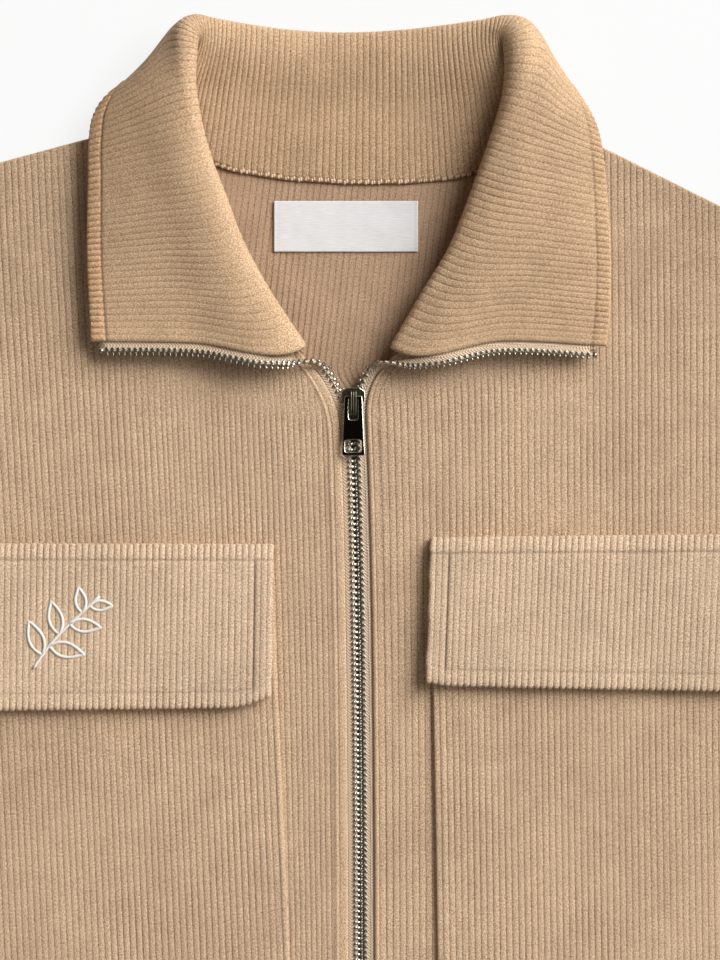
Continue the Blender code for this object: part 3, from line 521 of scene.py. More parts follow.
# %% The collar's sections
COLLAR_COLUMNS = (
    "at", "seam_x", "seam_y", "seam_z", "roll_x", "roll_y", "roll_z",
    "edge_x", "edge_y", "edge_z", "radius", "lean", "out", "bow",
)
COLLAR = [
    (0, -22.4, 213.8, 8.4, -21.8, 216.8, 11.2, -110.2, 219.4, 11.2, 2.8, 90, 208, 1.2),
    (18, -37.0, 226.5, 7.2, -37.2, 240.0, 12.6, -111.2, 238.4, 11.2, 3.2, 90, 208, 0.6),
    (36, -50.8, 238.3, 5.8, -48.0, 260.0, 14.0, -111.8, 257.0, 11.2, 3.6, 90, 205, 0.0),
    (54, -62.0, 253.4, 5.2, -55.4, 279.5, 15.8, -111.6, 274.0, 11.0, 3.8, 90, 201, 0.0),
    (68, -69.6, 264.2, 4.9, -61.0, 294.0, 17.4, -111.3, 287.5, 10.6, 4.0, 84, 198, 0.0),
    (82, -77.0, 276.6, 4.6, -65.4, 309.5, 19.2, -111.0, 301.0, 10.0, 4.2, 74, 192, 0.0),
    (94, -82.1, 287.1, 4.3, -68.2, 324.0, 20.8, -109.4, 311.5, 9.2, 4.4, 58, 188, 0.0),
    (106, -85.3, 298.8, 4.4, -69.2, 337.0, 21.8, -104.0, 319.5, 7.6, 4.4, 34, 181, 0.0),
    (118, -87.0, 310.4, 4.8, -69.6, 347.2, 20.6, -93.5, 326.0, 5.0, 4.2, 2, 152, 0.0),
    (130, -79.5, 302.8, 3.6, -66.5, 351.9, 16.4, -79.5, 329.0, 2.8, 3.8, -44, 112, 0.0),
    (144, -69.0, 296.4, 2.5, -59.0, 351.6, 12.0, -63.5, 326.5, 2.0, 3.4, -74, 94, 0.0),
    (162, -52.0, 290.7, 1.8, -46.0, 349.6, 8.8, -48.5, 325.0, 1.8, 3.1, -88, 91, 0.0),
    (184, -30.0, 287.2, 1.7, -26.5, 347.2, 7.0, -27.5, 322.6, 1.7, 2.9, -90, 90, 0.0),
    (208, -5.0, 285.5, 1.7, -4.0, 346.3, 6.4, -4.5, 321.5, 1.7, 2.9, -90, 90, 0.0),
    (232, 20.5, 285.6, 1.7, 19.5, 347.4, 7.0, 20.0, 322.4, 1.7, 2.9, -90, 90, 0.0),
    (254, 42.0, 287.6, 1.8, 37.0, 349.2, 8.8, 39.5, 324.6, 1.8, 3.3, -88, 90, 0.0),
    (272, 60.0, 292.4, 2.5, 51.0, 350.8, 12.4, 56.0, 326.5, 2.0, 4.2, -74, 87, 0.0),
    (286, 73.5, 298.8, 3.6, 60.5, 351.2, 17.2, 71.5, 328.6, 2.8, 5.2, -44, 70, 0.0),
    (298, 86.0, 309.0, 4.8, 65.2, 347.0, 21.6, 86.5, 325.5, 5.0, 6.0, 0, 34, 0.0),
    (310, 82.3, 298.0, 4.4, 64.8, 336.0, 23.0, 95.0, 315.5, 7.6, 6.4, 34, 3, 0.0),
    (322, 77.5, 287.0, 4.3, 62.2, 321.5, 21.8, 99.6, 306.5, 9.2, 6.0, 58, -10, 0.0),
    (334, 71.5, 275.5, 4.6, 57.8, 307.5, 19.8, 101.8, 296.5, 10.0, 5.2, 74, -14, 0.0),
    (348, 63.5, 264.0, 4.9, 52.4, 292.0, 17.8, 103.2, 283.0, 10.6, 4.6, 84, -17, 0.0),
    (362, 55.5, 253.2, 5.2, 47.0, 277.0, 16.0, 104.2, 269.0, 11.0, 4.2, 90, -19, 0.0),
    (380, 43.5, 238.0, 5.8, 38.8, 257.0, 14.0, 105.0, 251.5, 11.2, 3.8, 90, -23, 0.0),
    (398, 29.5, 226.0, 7.2, 27.6, 238.5, 12.6, 104.8, 234.0, 11.2, 3.2, 90, -26, 1.6),
    (416, 15.0, 213.2, 8.4, 14.4, 216.2, 11.2, 103.4, 217.4, 11.2, 2.8, 90, -27, 3.2),
]
NECK_GAP, COLLAR_CROWN = 0.6, 1.2
print("collar:", len(COLLAR), "sections along", COLLAR[-1][0], "mm")


# %% Outlines of the body
def zip_x(y):
    """The middle of the zip, which leans to the left towards the neck."""
    return ZIP_X - ZIP_LEAN * np.exp((y - ZIP_LEAN_TOP) / ZIP_LEAN_REACH)


def edge_x(side, y):
    """The front's folded edge beside the zip."""
    turned = np.clip((y - side["turn_from"]) / side["turn_over"], 0.0, 1.0)
    return zip_x(y) + side["out"] * (side["edge"] + side["turn"] * turned ** side["turn_power"])


def neck_corner(side):
    """Where the folded edge meets the neckline."""
    y = side["neck_corner"]
    return float(edge_x(side, y)), y


def side_x(side, y):
    """Side seam, then armhole."""
    (tip_x, tip_y), (arm_x, arm_y) = side["tip"], side["underarm"]
    return np.interp(y, (HEM_Y, arm_y, tip_y), (side["hem_corner"], arm_x, tip_x))


def front_top(side, x):
    """The front's upper outline: neckline, then shoulder."""
    rows = [row for row in COLLAR[1:-1] if (row[0] - side["neck_at"]) * side["out"] >= 0]
    neck = np.array(sorted([neck_corner(side), *[(row[1], row[2]) for row in rows]]))
    shoulder = np.array(sorted([side["neck_point"], *side["shoulder"], side["tip"]]))
    on_neck = (x - side["neck_point"][0]) * side["out"] < 0
    return np.where(on_neck, np.interp(x, *neck.T), np.interp(x, *shoulder.T))


def front_x(side, column, y):
    """X of a column of the front's net, which is named by its X at the upper outline."""
    corner, tip = neck_corner(side)[0], side["tip"][0]
    share = np.clip((column - corner) / (tip - corner), 0.0, 1.0)
    at_edge = np.exp(-np.abs(column - corner) / EDGE_PULL) * (1 - share)
    edge = edge_x(side, np.minimum(y, side["neck_corner"]))
    return column + (edge - corner) * at_edge + (side_x(side, y) - tip) * share**2


def column_at(side, x, y):
    """The columns that pass through (x, y)."""
    columns = np.linspace(neck_corner(side)[0], side["tip"][0], COLUMN_SAMPLES)
    places = front_x(side, columns, y)
    order = np.argsort(places)
    return np.interp(x, places[order], columns[order])


def front_z(side, x, y):
    """Height of the middle of the front's wall."""
    (tip_x, tip_y), (neck_x, neck_y) = side["tip"], side["neck_point"]
    from_side = np.abs(x - side_x(side, y))
    shoulder_y = np.interp(np.abs(x), (abs(neck_x), abs(tip_x)), (neck_y, tip_y))
    on_shoulder = ease((np.abs(x) - SHOULDER_FROM) / SHOULDER_OVER)
    from_shoulder = np.where(on_shoulder > 0, shoulder_y - y, LOFT_REACH)
    from_shoulder = LOFT_REACH + (np.maximum(from_shoulder, 0) - LOFT_REACH) * on_shoulder
    loft = ease(from_side / LOFT_REACH) * ease(from_shoulder / LOFT_REACH)
    corner_x, corner_y = neck_corner(side)
    from_corner = np.hypot(x - corner_x, (y - corner_y) * NECK_RISE_SQUASH)
    z = FRONT_LOW + FRONT_LOFT * loft
    z = z + EDGE_RISE * np.exp(-np.abs(x - edge_x(side, y)) / EDGE_RISE_REACH)
    z = z + NECK_RISE * np.exp(-((from_corner / NECK_RISE_REACH) ** 2))
    for row in FRONT_FOLDS:
        if row[0] * side["out"] > 0:
            z = z + ridge(x, y, row) * loft
    return z


# %% [markdown]
# ## The back
#
# Only a little of the back shows, inside the neck. There the cloth's wrong side faces up:
# flatter, a little pinker, with a fine vertical rib where the pile threads are held. The
# grid is fine only there, and coarse under the fronts where nothing can be seen.

# %% Back
JACKET = "jacket"
BACK_RIB = 2.6
RIB_HEIGHT, RIB_LEAN = 0.2, 0.13
NECK_FROM, NECK_TO, NECK_DOWN, BACK_UPRIGHT_AT = -62.0, 64.0, 190.0, 286.0
BACK_STEP, BACK_ROW, NECK_MARGIN = 9.0, 14.0, 6.0  # the coarse grid, and how far from the neck
LEAN_OVER, LEAN_UP, RIB_FADE = 12.0, 20.0, 3.0  # over these the ribs' lean and height set in


def back_net():
    """X and Y of the back's net, and the distance between the ribs that it was given."""
    left, right = SIDES["left"], SIDES["right"]
    sewn = [row for row in COLLAR if left["neck_at"] <= row[0] <= right["neck_at"]]
    outline = [left["tip"], *left["shoulder"][::-1], *[(row[1], row[2]) for row in sewn]]
    outline = np.array([*outline, *right["shoulder"], right["tip"]])
    shown, pitch = wale_lines(NECK_TO - NECK_FROM, BACK_RIB)
    columns = np.concatenate([
        edge_lines(outline[0, 0], NECK_FROM - NECK_MARGIN, BACK_STEP), NECK_FROM + shown,
        edge_lines(NECK_TO + NECK_MARGIN, outline[-1, 0], BACK_STEP),
    ])
    columns = steps_of_four(columns)
    top = np.interp(columns, *outline.T)
    level = edge_lines(HEM_Y, NECK_DOWN, BACK_ROW)[1:]
    level = np.sort(np.delete(level, np.argmax(level)))
    share = np.concatenate([np.linspace(0.0, 0.96, 26), [0.98, 0.99, 0.996, 1.0]])
    rows = [np.full(len(columns), HEM_Y), *[np.full(len(columns), y) for y in level]]
    rows += [NECK_DOWN + s * (top - NECK_DOWN) for s in share]
    while (len(rows) - 1) % HIDDEN_SHARE:
        rows.insert(2, (rows[1] + rows[2]) / 2)
    y = np.array(rows)
    place = (columns - columns[0]) / (columns[-1] - columns[0])
    x = side_x(left, y) + place * (side_x(right, y) - side_x(left, y))
    lean = RIB_LEAN * ease((x - NECK_FROM) / LEAN_OVER) * ease((NECK_TO - x) / LEAN_OVER)
    return x + lean * (y - BACK_UPRIGHT_AT) * ease((y - NECK_DOWN) / LEAN_UP), y, pitch


x, y, pitch = back_net()
middle = np.stack([x, y, np.full_like(x, BACK_MID)], axis=-1)
u = np.broadcast_to(x[-1] - NECK_FROM, x.shape)
rib = wale_relief(u, y, BACK_RIB, RIB_HEIGHT, seed=40)
shown = ease(u / RIB_FADE) * ease((NECK_TO - NECK_FROM - u) / RIB_FADE)
uv = np.stack([u * BACK_RIB / pitch, y], axis=-1)
back = cloth_wall("back_panel", middle, (rib - WALE_PROUD) * shown, uv, CLOTH, CORDUROY["inside"])
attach(back, JACKET)
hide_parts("back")

# %% [markdown]
# ## The fronts
#
# The wales run down the fronts and follow the folded edge beside the zip. Each wale is one
# column of the grid's pattern, so no groove is ever cut by a grid line. The edge itself is
# folded under and stitched: a low ridge runs beside it with a channel outside it.

# %% Fronts
WALE_LEAN = {"left": 0.05, "right": 0.008}  # how far a wale leans over a length, mid-panel
STRIP = {  # grooves beside the folded edge, the ridge there, where its pressed part ends, and painted shade at the edge
    "left": {
        "grooves": (0.0, 3.4, 5.8), "ridge": 4.55, "height": 0.32, "pressed": 3.4, "edge_shade": 0.0,
    },
    "right": {
        "grooves": (0.0, 2.1, 4.9), "ridge": 1.1, "height": 0.25, "pressed": 0.9, "edge_shade": 0.03,
    },
}
SIDE_SHADE = {"left": 0.0, "right": -0.025}  # painted shade: the right side's pieces are painted darker
STRIP_HIGHLIGHT_SHADE = {  # painted highlight and shade: distance from the folded edge, width, how much lighter or darker
    "left": [(4.55, 0.75, 0.14), (3.4, 0.4, -0.26)],
    "right": [(1.1, 0.8, 0.08), (4.9, 0.4, -0.16), (6.2, 0.7, 0.1), (7.6, 0.4, -0.2)],
}
RIDGE_WIDE = 0.75
SHOWN_FROM, HIDDEN_ROW, SHOWN_ROW, UPPER_ROWS = -60.0, 9.0, 6.0, 80  # the grid's rows
WALE_WOBBLE = 0.1  # how far a wale strays sideways
SHOULDER_SHADE = {"left": 0.13, "right": 0.17}  # painted shade: how much darker the fronts are painted at the shoulders
SHOULDER_SHADE_FROM, SHOULDER_SHADE_OVER = (60.0, 190.0), (60.0, 70.0)  # X and Y of that shade


def front_lines(side, strip):
    """Distances across the wales, and the rows: level ones, then shares of the upper part."""
    wide = abs(side_x(side, 0.0) - edge_x(side, 0.0))
    first, second = strip["grooves"][1:]
    across, wale = wale_lines(wide - second)
    shares = np.array(WALE_STEPS)
    across = np.concatenate([first * shares, first + (second - first) * shares, second + across])
    level = np.concatenate([
        HEM_Y + np.array([0.0, *EDGE_FINE]), np.arange(HEM_Y + 8, SHOWN_FROM, HIDDEN_ROW),
        np.arange(SHOWN_FROM, LEVEL_TOP, SHOWN_ROW),
    ])
    share = np.concatenate([np.linspace(0.0, 0.975, UPPER_ROWS), [0.985, 0.991, 0.996, 1.0]])
    level = steps_of_four(np.concatenate([np.unique(level), LEVEL_TOP + share]))
    share = level[level >= LEVEL_TOP] - LEVEL_TOP
    return steps_of_four(across), wale, level[level < LEVEL_TOP], share


def front_place(name, side, u, y_rows, share):
    """X and Y of the net: u is the distance from the folded edge, at Y = 0."""
    columns = column_at(side, edge_x(side, 0.0) + side["out"] * u, 0.0)
    top = front_top(side, columns)
    y = [np.full(len(columns), row) for row in y_rows]
    y = np.array(y + [LEVEL_TOP + s * (top - LEVEL_TOP) for s in share])
    x = front_x(side, columns[None, :], y)
    part = u / u.max()
    return x + WALE_LEAN[name] * (top - y) * 4 * part * (1 - part), y, columns


def wale_place(side, strip, u, x, y, columns, wale):
    """The place across the wales. They stay straight where the edge turns away to the neck."""
    turned = np.abs(edge_x(side, np.minimum(y, side["neck_corner"])) - zip_x(y)) - side["edge"]
    corner, tip = neck_corner(side)[0], side["tip"][0]
    share = np.clip((columns - corner) / (tip - corner), 0.0, 1.0)
    moved = turned * np.exp(-np.abs(columns - corner) / EDGE_PULL) * (1 - share)
    from_edge = np.abs(x - edge_x(side, np.minimum(y, side["neck_corner"])))
    grooves = np.array(strip["grooves"])
    in_strip = np.interp(from_edge, grooves, np.arange(3) * wale)
    beyond = u + np.maximum(moved, 0.0) - grooves[-1] + 2 * wale
    return np.where(from_edge < grooves[-1], in_strip, beyond), from_edge


def left_to_right(side, *nets):
    """Turns nets that were made outwards from the zip, so that their faces point up."""
    return [net[:, ::-1] if side["out"] < 0 else net for net in nets]


for name, side in SIDES.items():
    strip = STRIP[name]
    across, wale, y_rows, share = front_lines(side, strip)
    x, y, columns = front_place(name, side, across, y_rows, share)
    u, from_edge = wale_place(side, strip, across, x, y, columns, wale)
    from_rim = from_edges(np.stack([x, y, 0 * x], axis=-1))
    wobble = WALE_WOBBLE * unevenness(u / wale, y, 1.0, 11.0, 3)
    wobble = wobble * ease(from_edge / 6.0) * ease(from_rim / 4.0)
    middle = np.stack([x + wobble, y, front_z(side, x, y)], axis=-1)
    ridge_line = near(from_edge, strip["ridge"], RIDGE_WIDE)
    pressed = 1 - ease((from_edge - strip["pressed"] + 0.7) / 0.8)
    relief = wale_relief(u, y, wale, seed=5) * (1 - 0.8 * pressed) + strip["height"] * ridge_line
    # The tone paints shade: the right side darker, and a thin dark line right at the folded edge.
    # The pressed strip is a little lighter.
    tone = SIDE_SHADE[name] + 0.03 * pressed - strip["edge_shade"] * (1 - ease(from_edge / 0.5))
    # Painted highlights on the strip's ridges and painted shade in its grooves.
    for distance, width, amount in STRIP_HIGHLIGHT_SHADE[name]:
        broken = 0.75 + 0.35 * unevenness(y, 0 * y, 6.0, 9.0, int(10 * distance))
        tone = tone + amount * near(from_edge, distance, width) * broken
    # Painted shade: darker towards the shoulders.
    (from_x, from_y), (over_x, over_y) = SHOULDER_SHADE_FROM, SHOULDER_SHADE_OVER
    shoulder = SHOULDER_SHADE[name] * ease((y - from_y) / over_y)
    tone = tone - shoulder * ease((np.abs(x) - from_x) / over_x)
    look = nap(x.shape, tone=tone, rub=np.maximum(0.4 * ridge_line, pressed))
    uv = np.stack([u * WALE / wale, y], axis=-1)
    middle, relief, uv, look = left_to_right(side, middle, relief, uv, look)
    piece = cloth_wall(f"front_panel_{name}", middle, relief, uv, CLOTH, CORDUROY["body"], look)
    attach(piece, JACKET)
    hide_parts(f"front_{name}")

# %% [markdown]
# ## Patch pockets and their flaps
#
# A patch pocket is one layer of corduroy sewn flat on the front. Its flap is two layers,
# sewn on above the pocket, and its lower edge stands a little off, so it throws a soft
# shadow. The wale ends make both of the flap's edges slightly scalloped.

# %% Pockets and flaps
SCALLOP = 0.75
FLAP_STITCH = 7.0  # from the flap's edges
POCKET_STITCH, SEAM_WAVER = 2.5, 0.25  # from the pocket's edge, and how far that varies
STITCH_WIDE, STITCH_DEEP = 0.6, 0.45
STITCH_LINES = np.array([-1.0, -0.45, 0.0, 0.45, 1.0])  # the grid's rows across a row of stitches
FLAP_ROW, POCKET_ROW = 2.4, 4.0
TOP_PRESSED, TOP_PRESSED_OVER = 1.1, 9.0  # the flap's top is sewn down this far
STITCH_SHADE, SEAM_SHADE, RUBBED = -0.26, -0.26, 0.5  # painted shade in their channels, and how rubbed the nap beside them is
FLAP_CORNER = {"left": (4.2, 9.0), "right": (1.4, 6.0)}  # how far its lower corner rounds up
FLAP_SPREAD = {"left": (0.002, 0.010), "right": (0.010, 0.018)}  # its edges fan out a little
FLAP_FACES = {}  # points of each flap's outer face


def flap_relief(from_top, from_inner, from_bottom, phase, wale):
    """Stitched channels along three edges, and the seam that presses the top one down."""
    inside = ease((from_top - 6.0) / 2.0) * ease((from_bottom - 5.0) / 2.0)
    rows = near(from_top, FLAP_STITCH, STITCH_WIDE)
    rows = rows + near(from_inner, 3 * wale, 0.5) * inside
    faint = 0.5 * near(from_bottom, FLAP_STITCH, STITCH_WIDE) * ease(from_inner - 2.8 * wale)
    sewn = np.clip(rows + faint, 0.0, 1.0)
    puffed = 0.22 * near(from_top, 3.4, 2.2) + 0.18 * near(from_bottom, 2.6, 2.2)
    pressed = TOP_PRESSED * (1 - ease(from_top / TOP_PRESSED_OVER))
    return puffed * (1 - near(phase, 0.0, 0.12)) - STITCH_DEEP * sewn - pressed, sewn


def pocket_look(name, u, y):
    """A pocket's seam in painted shade, with painted highlights on both sides of it and the nap
    rubbed beside it.
    """
    seam_at = POCKET_STITCH + SEAM_WAVER * unevenness(y, 0 * y, 7.0, 9.0, 15)
    tone = 0.1 * near(u, 0.9, 0.8) + SEAM_SHADE * near(u, seam_at, 0.5) + 0.06 * near(u, 4.6, 1.6)
    return nap(u.shape, tone=tone + SIDE_SHADE[name], rub=RUBBED * near(u, 1.9, 1.3))


def flap_shape(name, x, y, u, phase, wale):
    """A flap's net with its edges bent, the relief of its sewing, and its look: painted shade in
    the stitched channels, painted highlights along its edges.
    """
    side = SIDES[name]
    high, low = side["flap"]["top"], side["flap"]["bottom"]
    from_top, from_bottom = high - y, y - low
    down = from_top / (high - low)
    fan_up, fan_down = FLAP_SPREAD[name]
    corner, reach = FLAP_CORNER[name]
    relief, sewn = flap_relief(from_top, u, from_bottom, phase, wale)
    at_side = near(u, 1.9, 1.3)
    # Painted highlights near the top and bottom edges and at the inner side, painted shade in the
    # stitched channels and on the right side.
    highlight_and_shade = 0.05 * (1 - ease((from_top - 5.0) / 3.0)) + 0.04 * (1 - ease(from_bottom / 6.0))
    highlight_and_shade = highlight_and_shade + 1.2 * SIDE_SHADE[name]
    look = nap(x.shape, tone=highlight_and_shade + STITCH_SHADE * sewn + 0.09 * at_side, rub=0.6 * at_side)
    x = x + side["out"] * 0.5 * unevenness(y, 0 * y, 3.2, 9.0, 14) * np.exp(-u / 2.0)
    y = y + fan_up * u * (1 - down) - fan_down * u * ease(u / 40.0) * down
    return x, y + corner * np.exp(-((u / reach) ** 2)) * down**3, relief, look


for name, side in SIDES.items():
    flap, pocket = side["flap"], side["pocket"]
    level = (flap["top"] + flap["bottom"]) / 2
    rise = CLOTH + SEAM
    for kind, part, low, wall in (
        ("pocket", pocket, POCKET_BOTTOM, CLOTH), ("flap", flap, flap["bottom"], DOUBLED),
    ):
        across, wale = wale_lines(abs(part["outer"] - part["inner"]))
        across = steps_of_four(across)
        columns = column_at(side, part["inner"] + side["out"] * across, level)
        rows = edge_lines(low, flap["top"], FLAP_ROW if kind == "flap" else POCKET_ROW)
        if kind == "flap":
            rows = np.concatenate([rows, flap["top"] - FLAP_STITCH + STITCH_LINES,
                                   low + FLAP_STITCH + STITCH_LINES])
        rows = steps_of_four(rows)
        y = np.broadcast_to(rows[:, None], (len(rows), len(columns))).copy()
        x = front_x(side, columns[None, :], y)
        u = np.broadcast_to(across, x.shape)
        lift = 0.0
        if kind == "flap":
            rise += CLOTH / 2 + SEAM + DOUBLED / 2
            lift = FLAP_LIFT * ease((flap["top"] - y) / (flap["top"] - low))
        z = front_z(side, x, y) + rise + lift
        x = x + part["slant"] * (level - y)
        phase = np.abs(u / wale - np.round(u / wale))
        from_top, from_bottom = flap["top"] - y, y - low
        relief = wale_relief(u, y, wale, seed=11)
        look = pocket_look(name, u, y)
        if kind == "flap":
            x, y, sewing, look = flap_shape(name, x, y, u, phase, wale)
            relief = relief + sewing
        notch = SCALLOP * near(phase, 0.0, 0.2)
        y = y + notch * (ease((3.0 - from_bottom) / 3.0) - ease((3.0 - from_top) / 3.0))
        middle = np.stack([x, y, z], axis=-1)
        if kind == "flap":
            FLAP_FACES[name] = (middle + [0.0, 0.0, wall / 2]).reshape(-1, 3)
        uv = np.stack([u * WALE / wale, y], axis=-1)
        middle, relief, uv, look = left_to_right(side, middle, relief, uv, look)
        finish = CORDUROY["flap" if kind == "flap" else "body"]
        piece = cloth_wall(f"{kind}_cloth_{name}", middle, relief, uv, wall, finish, look)
        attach(piece, JACKET)
        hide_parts(f"{kind}_{name}")

# %% [markdown]
# ## The collar
#
# The wales run across the band, from the neck seam over the fold to the free edge, so they
# fan out round the neck. Each grid column is one section of the table above, and the
# section's points crowd together round the fold.

# %% Collar
def collar_row(at):
    """The named values of the collar's section here. Its seam runs straight between rows."""
    rows = np.array(COLLAR, float)
    row = dict(zip(COLLAR_COLUMNS, spline(rows[:, 0], rows, float(at))))
    for k in (1, 2, 3):
        row[COLLAR_COLUMNS[k]] = np.interp(at, rows[:, 0], rows[:, k])
    return row


def collar_nodes(at):
    """Places down the middle of the collar's wall: its neck seam, its fold and its free edge."""
    row = collar_row(at)
    seam, roll, edge = (
        np.array([row[f"{part}_{axis}"] for axis in "xyz"]) for part in ("seam", "roll", "edge")
    )
    lean, out = math.radians(row["lean"]), math.radians(row["out"])
    outward_way = np.array([math.cos(out), math.sin(out), 0.0])
    up = np.array([0.0, 0.0, 1.0])
    stack = outward_way * math.cos(lean) + up * math.sin(lean)
    bulge = up * math.cos(lean) - outward_way * math.sin(lean)
    centre = roll - bulge * row["radius"]
    fold = [
        centre + row["radius"] * (bulge * math.sin(a) - stack * math.cos(a))
        for a in np.linspace(0.0, math.pi, 5)
    ]
    ahead, behind = collar_row(at + 1.0), collar_row(at - 1.0)
    off = np.array([ahead["seam_y"] - behind["seam_y"], behind["seam_x"] - ahead["seam_x"], 0.0])
    off = off * np.sign(off @ (roll - seam)) / np.linalg.norm(off)
    rising = (roll - seam) * [1.0, 1.0, 0.0]
    seam = seam + NECK_GAP * (off + 0.5 * rising / np.linalg.norm(rising))
    crown = up * COLLAR_CROWN * max(math.sin(lean), 0.0)
    fall = (fold[-1] + edge) / 2 + crown + [0.0, row["bow"], 0.0]
    return np.array([seam, (seam + fold[0]) / 2, *fold, fall, edge])


def distances(points):
    """How far each point is along the line through all of them."""
    return np.concatenate([[0.0], np.cumsum(np.linalg.norm(np.diff(points, axis=0), axis=1))])


def collar_section(at, shares):
    """Points from neck seam to free edge, lying closer together round the fold."""
    nodes = collar_nodes(at)
    along = distances(nodes)
    fold = along[4] / along[-1]
    pull = 3.0 * np.exp(-(((shares - fold) / 0.2) ** 2)) * shares * (1 - shares)
    places = (shares + pull * (fold - shares)) * along[-1]
    return spline(along, nodes, places), places, along[4]


def collar_net(at, shares):
    """The band's middle, the distances down it, and the distance at which it folds."""
    sections = [collar_section(a, shares) for a in at]
    middle = np.stack([points for points, _, _ in sections], axis=1)
    down = np.stack([places for _, places, _ in sections], axis=1)
    return middle, down, np.array([fold for _, _, fold in sections])


# %% The collar's net
COLLAR_STITCH = 6.2  # from the free edge
COLLAR_LONG = 92.0  # from neck seam to free edge, about
COLLAR_STEP = 1.9
WALE_TURN = {"left": 0.08, "right": 0.05}  # how far the leaves' wales swing down outwards
at, collar_wale = wale_lines(COLLAR[-1][0])
at = steps_of_four(at)
stitched = COLLAR_LONG - COLLAR_STITCH + np.array([-0.9, -0.4, 0.0, 0.4, 0.9])
lines = np.concatenate([edge_lines(0.0, COLLAR_LONG, COLLAR_STEP), stitched])
shares = steps_of_four(lines / COLLAR_LONG)
middle, down, fold = collar_net(at, shares)
to_end = at[-1] - at
outer = np.maximum(down - fold, 0.0)
swing = outer * (
    WALE_TURN["right"] * ease(to_end / 60.0) * ease((at - 290.0) / 30.0)
    - WALE_TURN["left"] * ease(at / 60.0) * ease((126.0 - at) / 30.0)
)
swung = at + swing
for net in (middle[..., 0], middle[..., 1], middle[..., 2], down):
    net[:] = np.array([np.interp(row_at, at, row) for row_at, row in zip(swung, net)])

# %% The collar's sewing and nap
COLLAR_FOLD_SHEEN = 0.13  # painted sheen: how much lighter the fold is painted
SEWN_HARD = {"left": 1.0, "right": 0.55}  # the right leaf's seam hardly shows
LEFT_LEAF, RIGHT_LEAF = (96.0, 30.0), (300.0, 20.0)  # along the band: from where, over how much
u = np.broadcast_to(at, down.shape)
from_free = np.broadcast_to((1 - shares[:, None]) * COLLAR_LONG, down.shape)
stitched_row = near(from_free, COLLAR_STITCH, 0.55)
band = 1 - ease((from_free - COLLAR_STITCH + 0.6) / 0.8)
on_leaf = ease((down - fold + 4.0) / 8.0)
left_leaf = ease((LEFT_LEAF[0] - at) / LEFT_LEAF[1]) * on_leaf
right_leaf = ease((at - RIGHT_LEAF[0]) / RIGHT_LEAF[1]) * on_leaf
by_zip = np.maximum(1 - ease((at - 3.0) / 4.0), 1 - ease((to_end - 3.0) / 4.0)) * on_leaf
at_fold = near(down, fold + 2.0, 4.5) * np.maximum(left_leaf, right_leaf)
patchy = 0.5 + 0.5 * unevenness(u, down, 17.0, 22.0, 27)
rub = left_leaf * (0.25 + 0.45 * patchy) + right_leaf * 0.35 * patchy
rub = np.clip(rub * (1 - band) + 0.5 * at_fold + by_zip, 0.0, 0.95)
sewn_hard = np.where(at < COLLAR[-1][0] / 2, SEWN_HARD["left"], SEWN_HARD["right"])
phase = np.abs(u / collar_wale - np.round(u / collar_wale))
puffs = sewn_hard * band * near(phase, 0.5, 0.26)
relief = wale_relief(u, down, collar_wale, seed=21) * (1 - 0.45 * rub)
relief = relief + 0.5 * puffs - 0.5 * sewn_hard * stitched_row
# The tone paints a sheen along the fold, highlights on the puffs beside the stitching, shade in the
# stitched channel and a darker right leaf. By the zip, and on the left leaf towards its front end,
# it is lighter.
tone = COLLAR_FOLD_SHEEN * at_fold + 0.05 * by_zip - 0.28 * sewn_hard * stitched_row + 0.06 * puffs
tone = tone + 0.06 * left_leaf * ease((70.0 - at) / 50.0) - 0.06 * right_leaf
look = nap(down.shape, tone=tone, warm=0.2 * sewn_hard**2 * band * on_leaf, rub=rub)
uv = np.stack([u * WALE / collar_wale, down], axis=-1)
collar = cloth_wall("collar_band", middle, relief, uv, DOUBLED, CORDUROY["collar"], look)
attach(collar, JACKET)
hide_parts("collar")

# %% [markdown]
# ## Threads, cords and tapes
#
# Narrow woven goods have a fine slanting rib. Real ribs are 0.6 mm apart and would vanish in
# the picture, so they are drawn at 1.3 mm.

# %% Herringbone
def woven(name, thread, shadow, period=1.3, zigzag=1.6):
    """Plain polyester-cotton weave, matt: fine slanting ribs that turn in narrow columns."""
    made, tree, shader = new_material(name, Roughness=0.8, Specular_IOR_Level=0.3)
    across = add_node(tree, "UVMap", uv_map="cloth").outputs["UV"]
    across = add_node(tree, "SeparateXYZ", {"Vector": across}).outputs
    slant = add_node(tree, "Math", {0: across["X"], 1: zigzag}, operation="PINGPONG")
    along = add_node(tree, "Math", {0: across["Y"], 1: slant.outputs[0]}, operation="ADD")
    rib = add_node(tree, "Math", {0: along.outputs[0], 1: period / 2}, operation="PINGPONG")
    sockets = {"Value": rib.outputs[0], "From Max": period / 2}
    rib = add_node(tree, "MapRange", sockets, interpolation_type="SMOOTHSTEP").outputs[0]
    colour = add_node(
        tree, "Mix", {0: rib, 6: hex_colour(shadow), 7: hex_colour(thread)}, data_type="RGBA"
    ).outputs[2]
    tree.links.new(colour, shader.inputs["Base Color"])
    bump = add_node(tree, "Bump", {"Height": rib, "Strength": 0.5, "Distance": 0.0002})
    tree.links.new(bump.outputs[0], shader.inputs["Normal"])
    return made


# %% Round cords
def add_part(made, part):
    """Adds a part that was made by itself to a bmesh, and frees it."""
    mesh = bpy.data.meshes.new("part")
    part.to_mesh(mesh)
    part.free()
    made.from_mesh(mesh)
    bpy.data.meshes.remove(mesh)


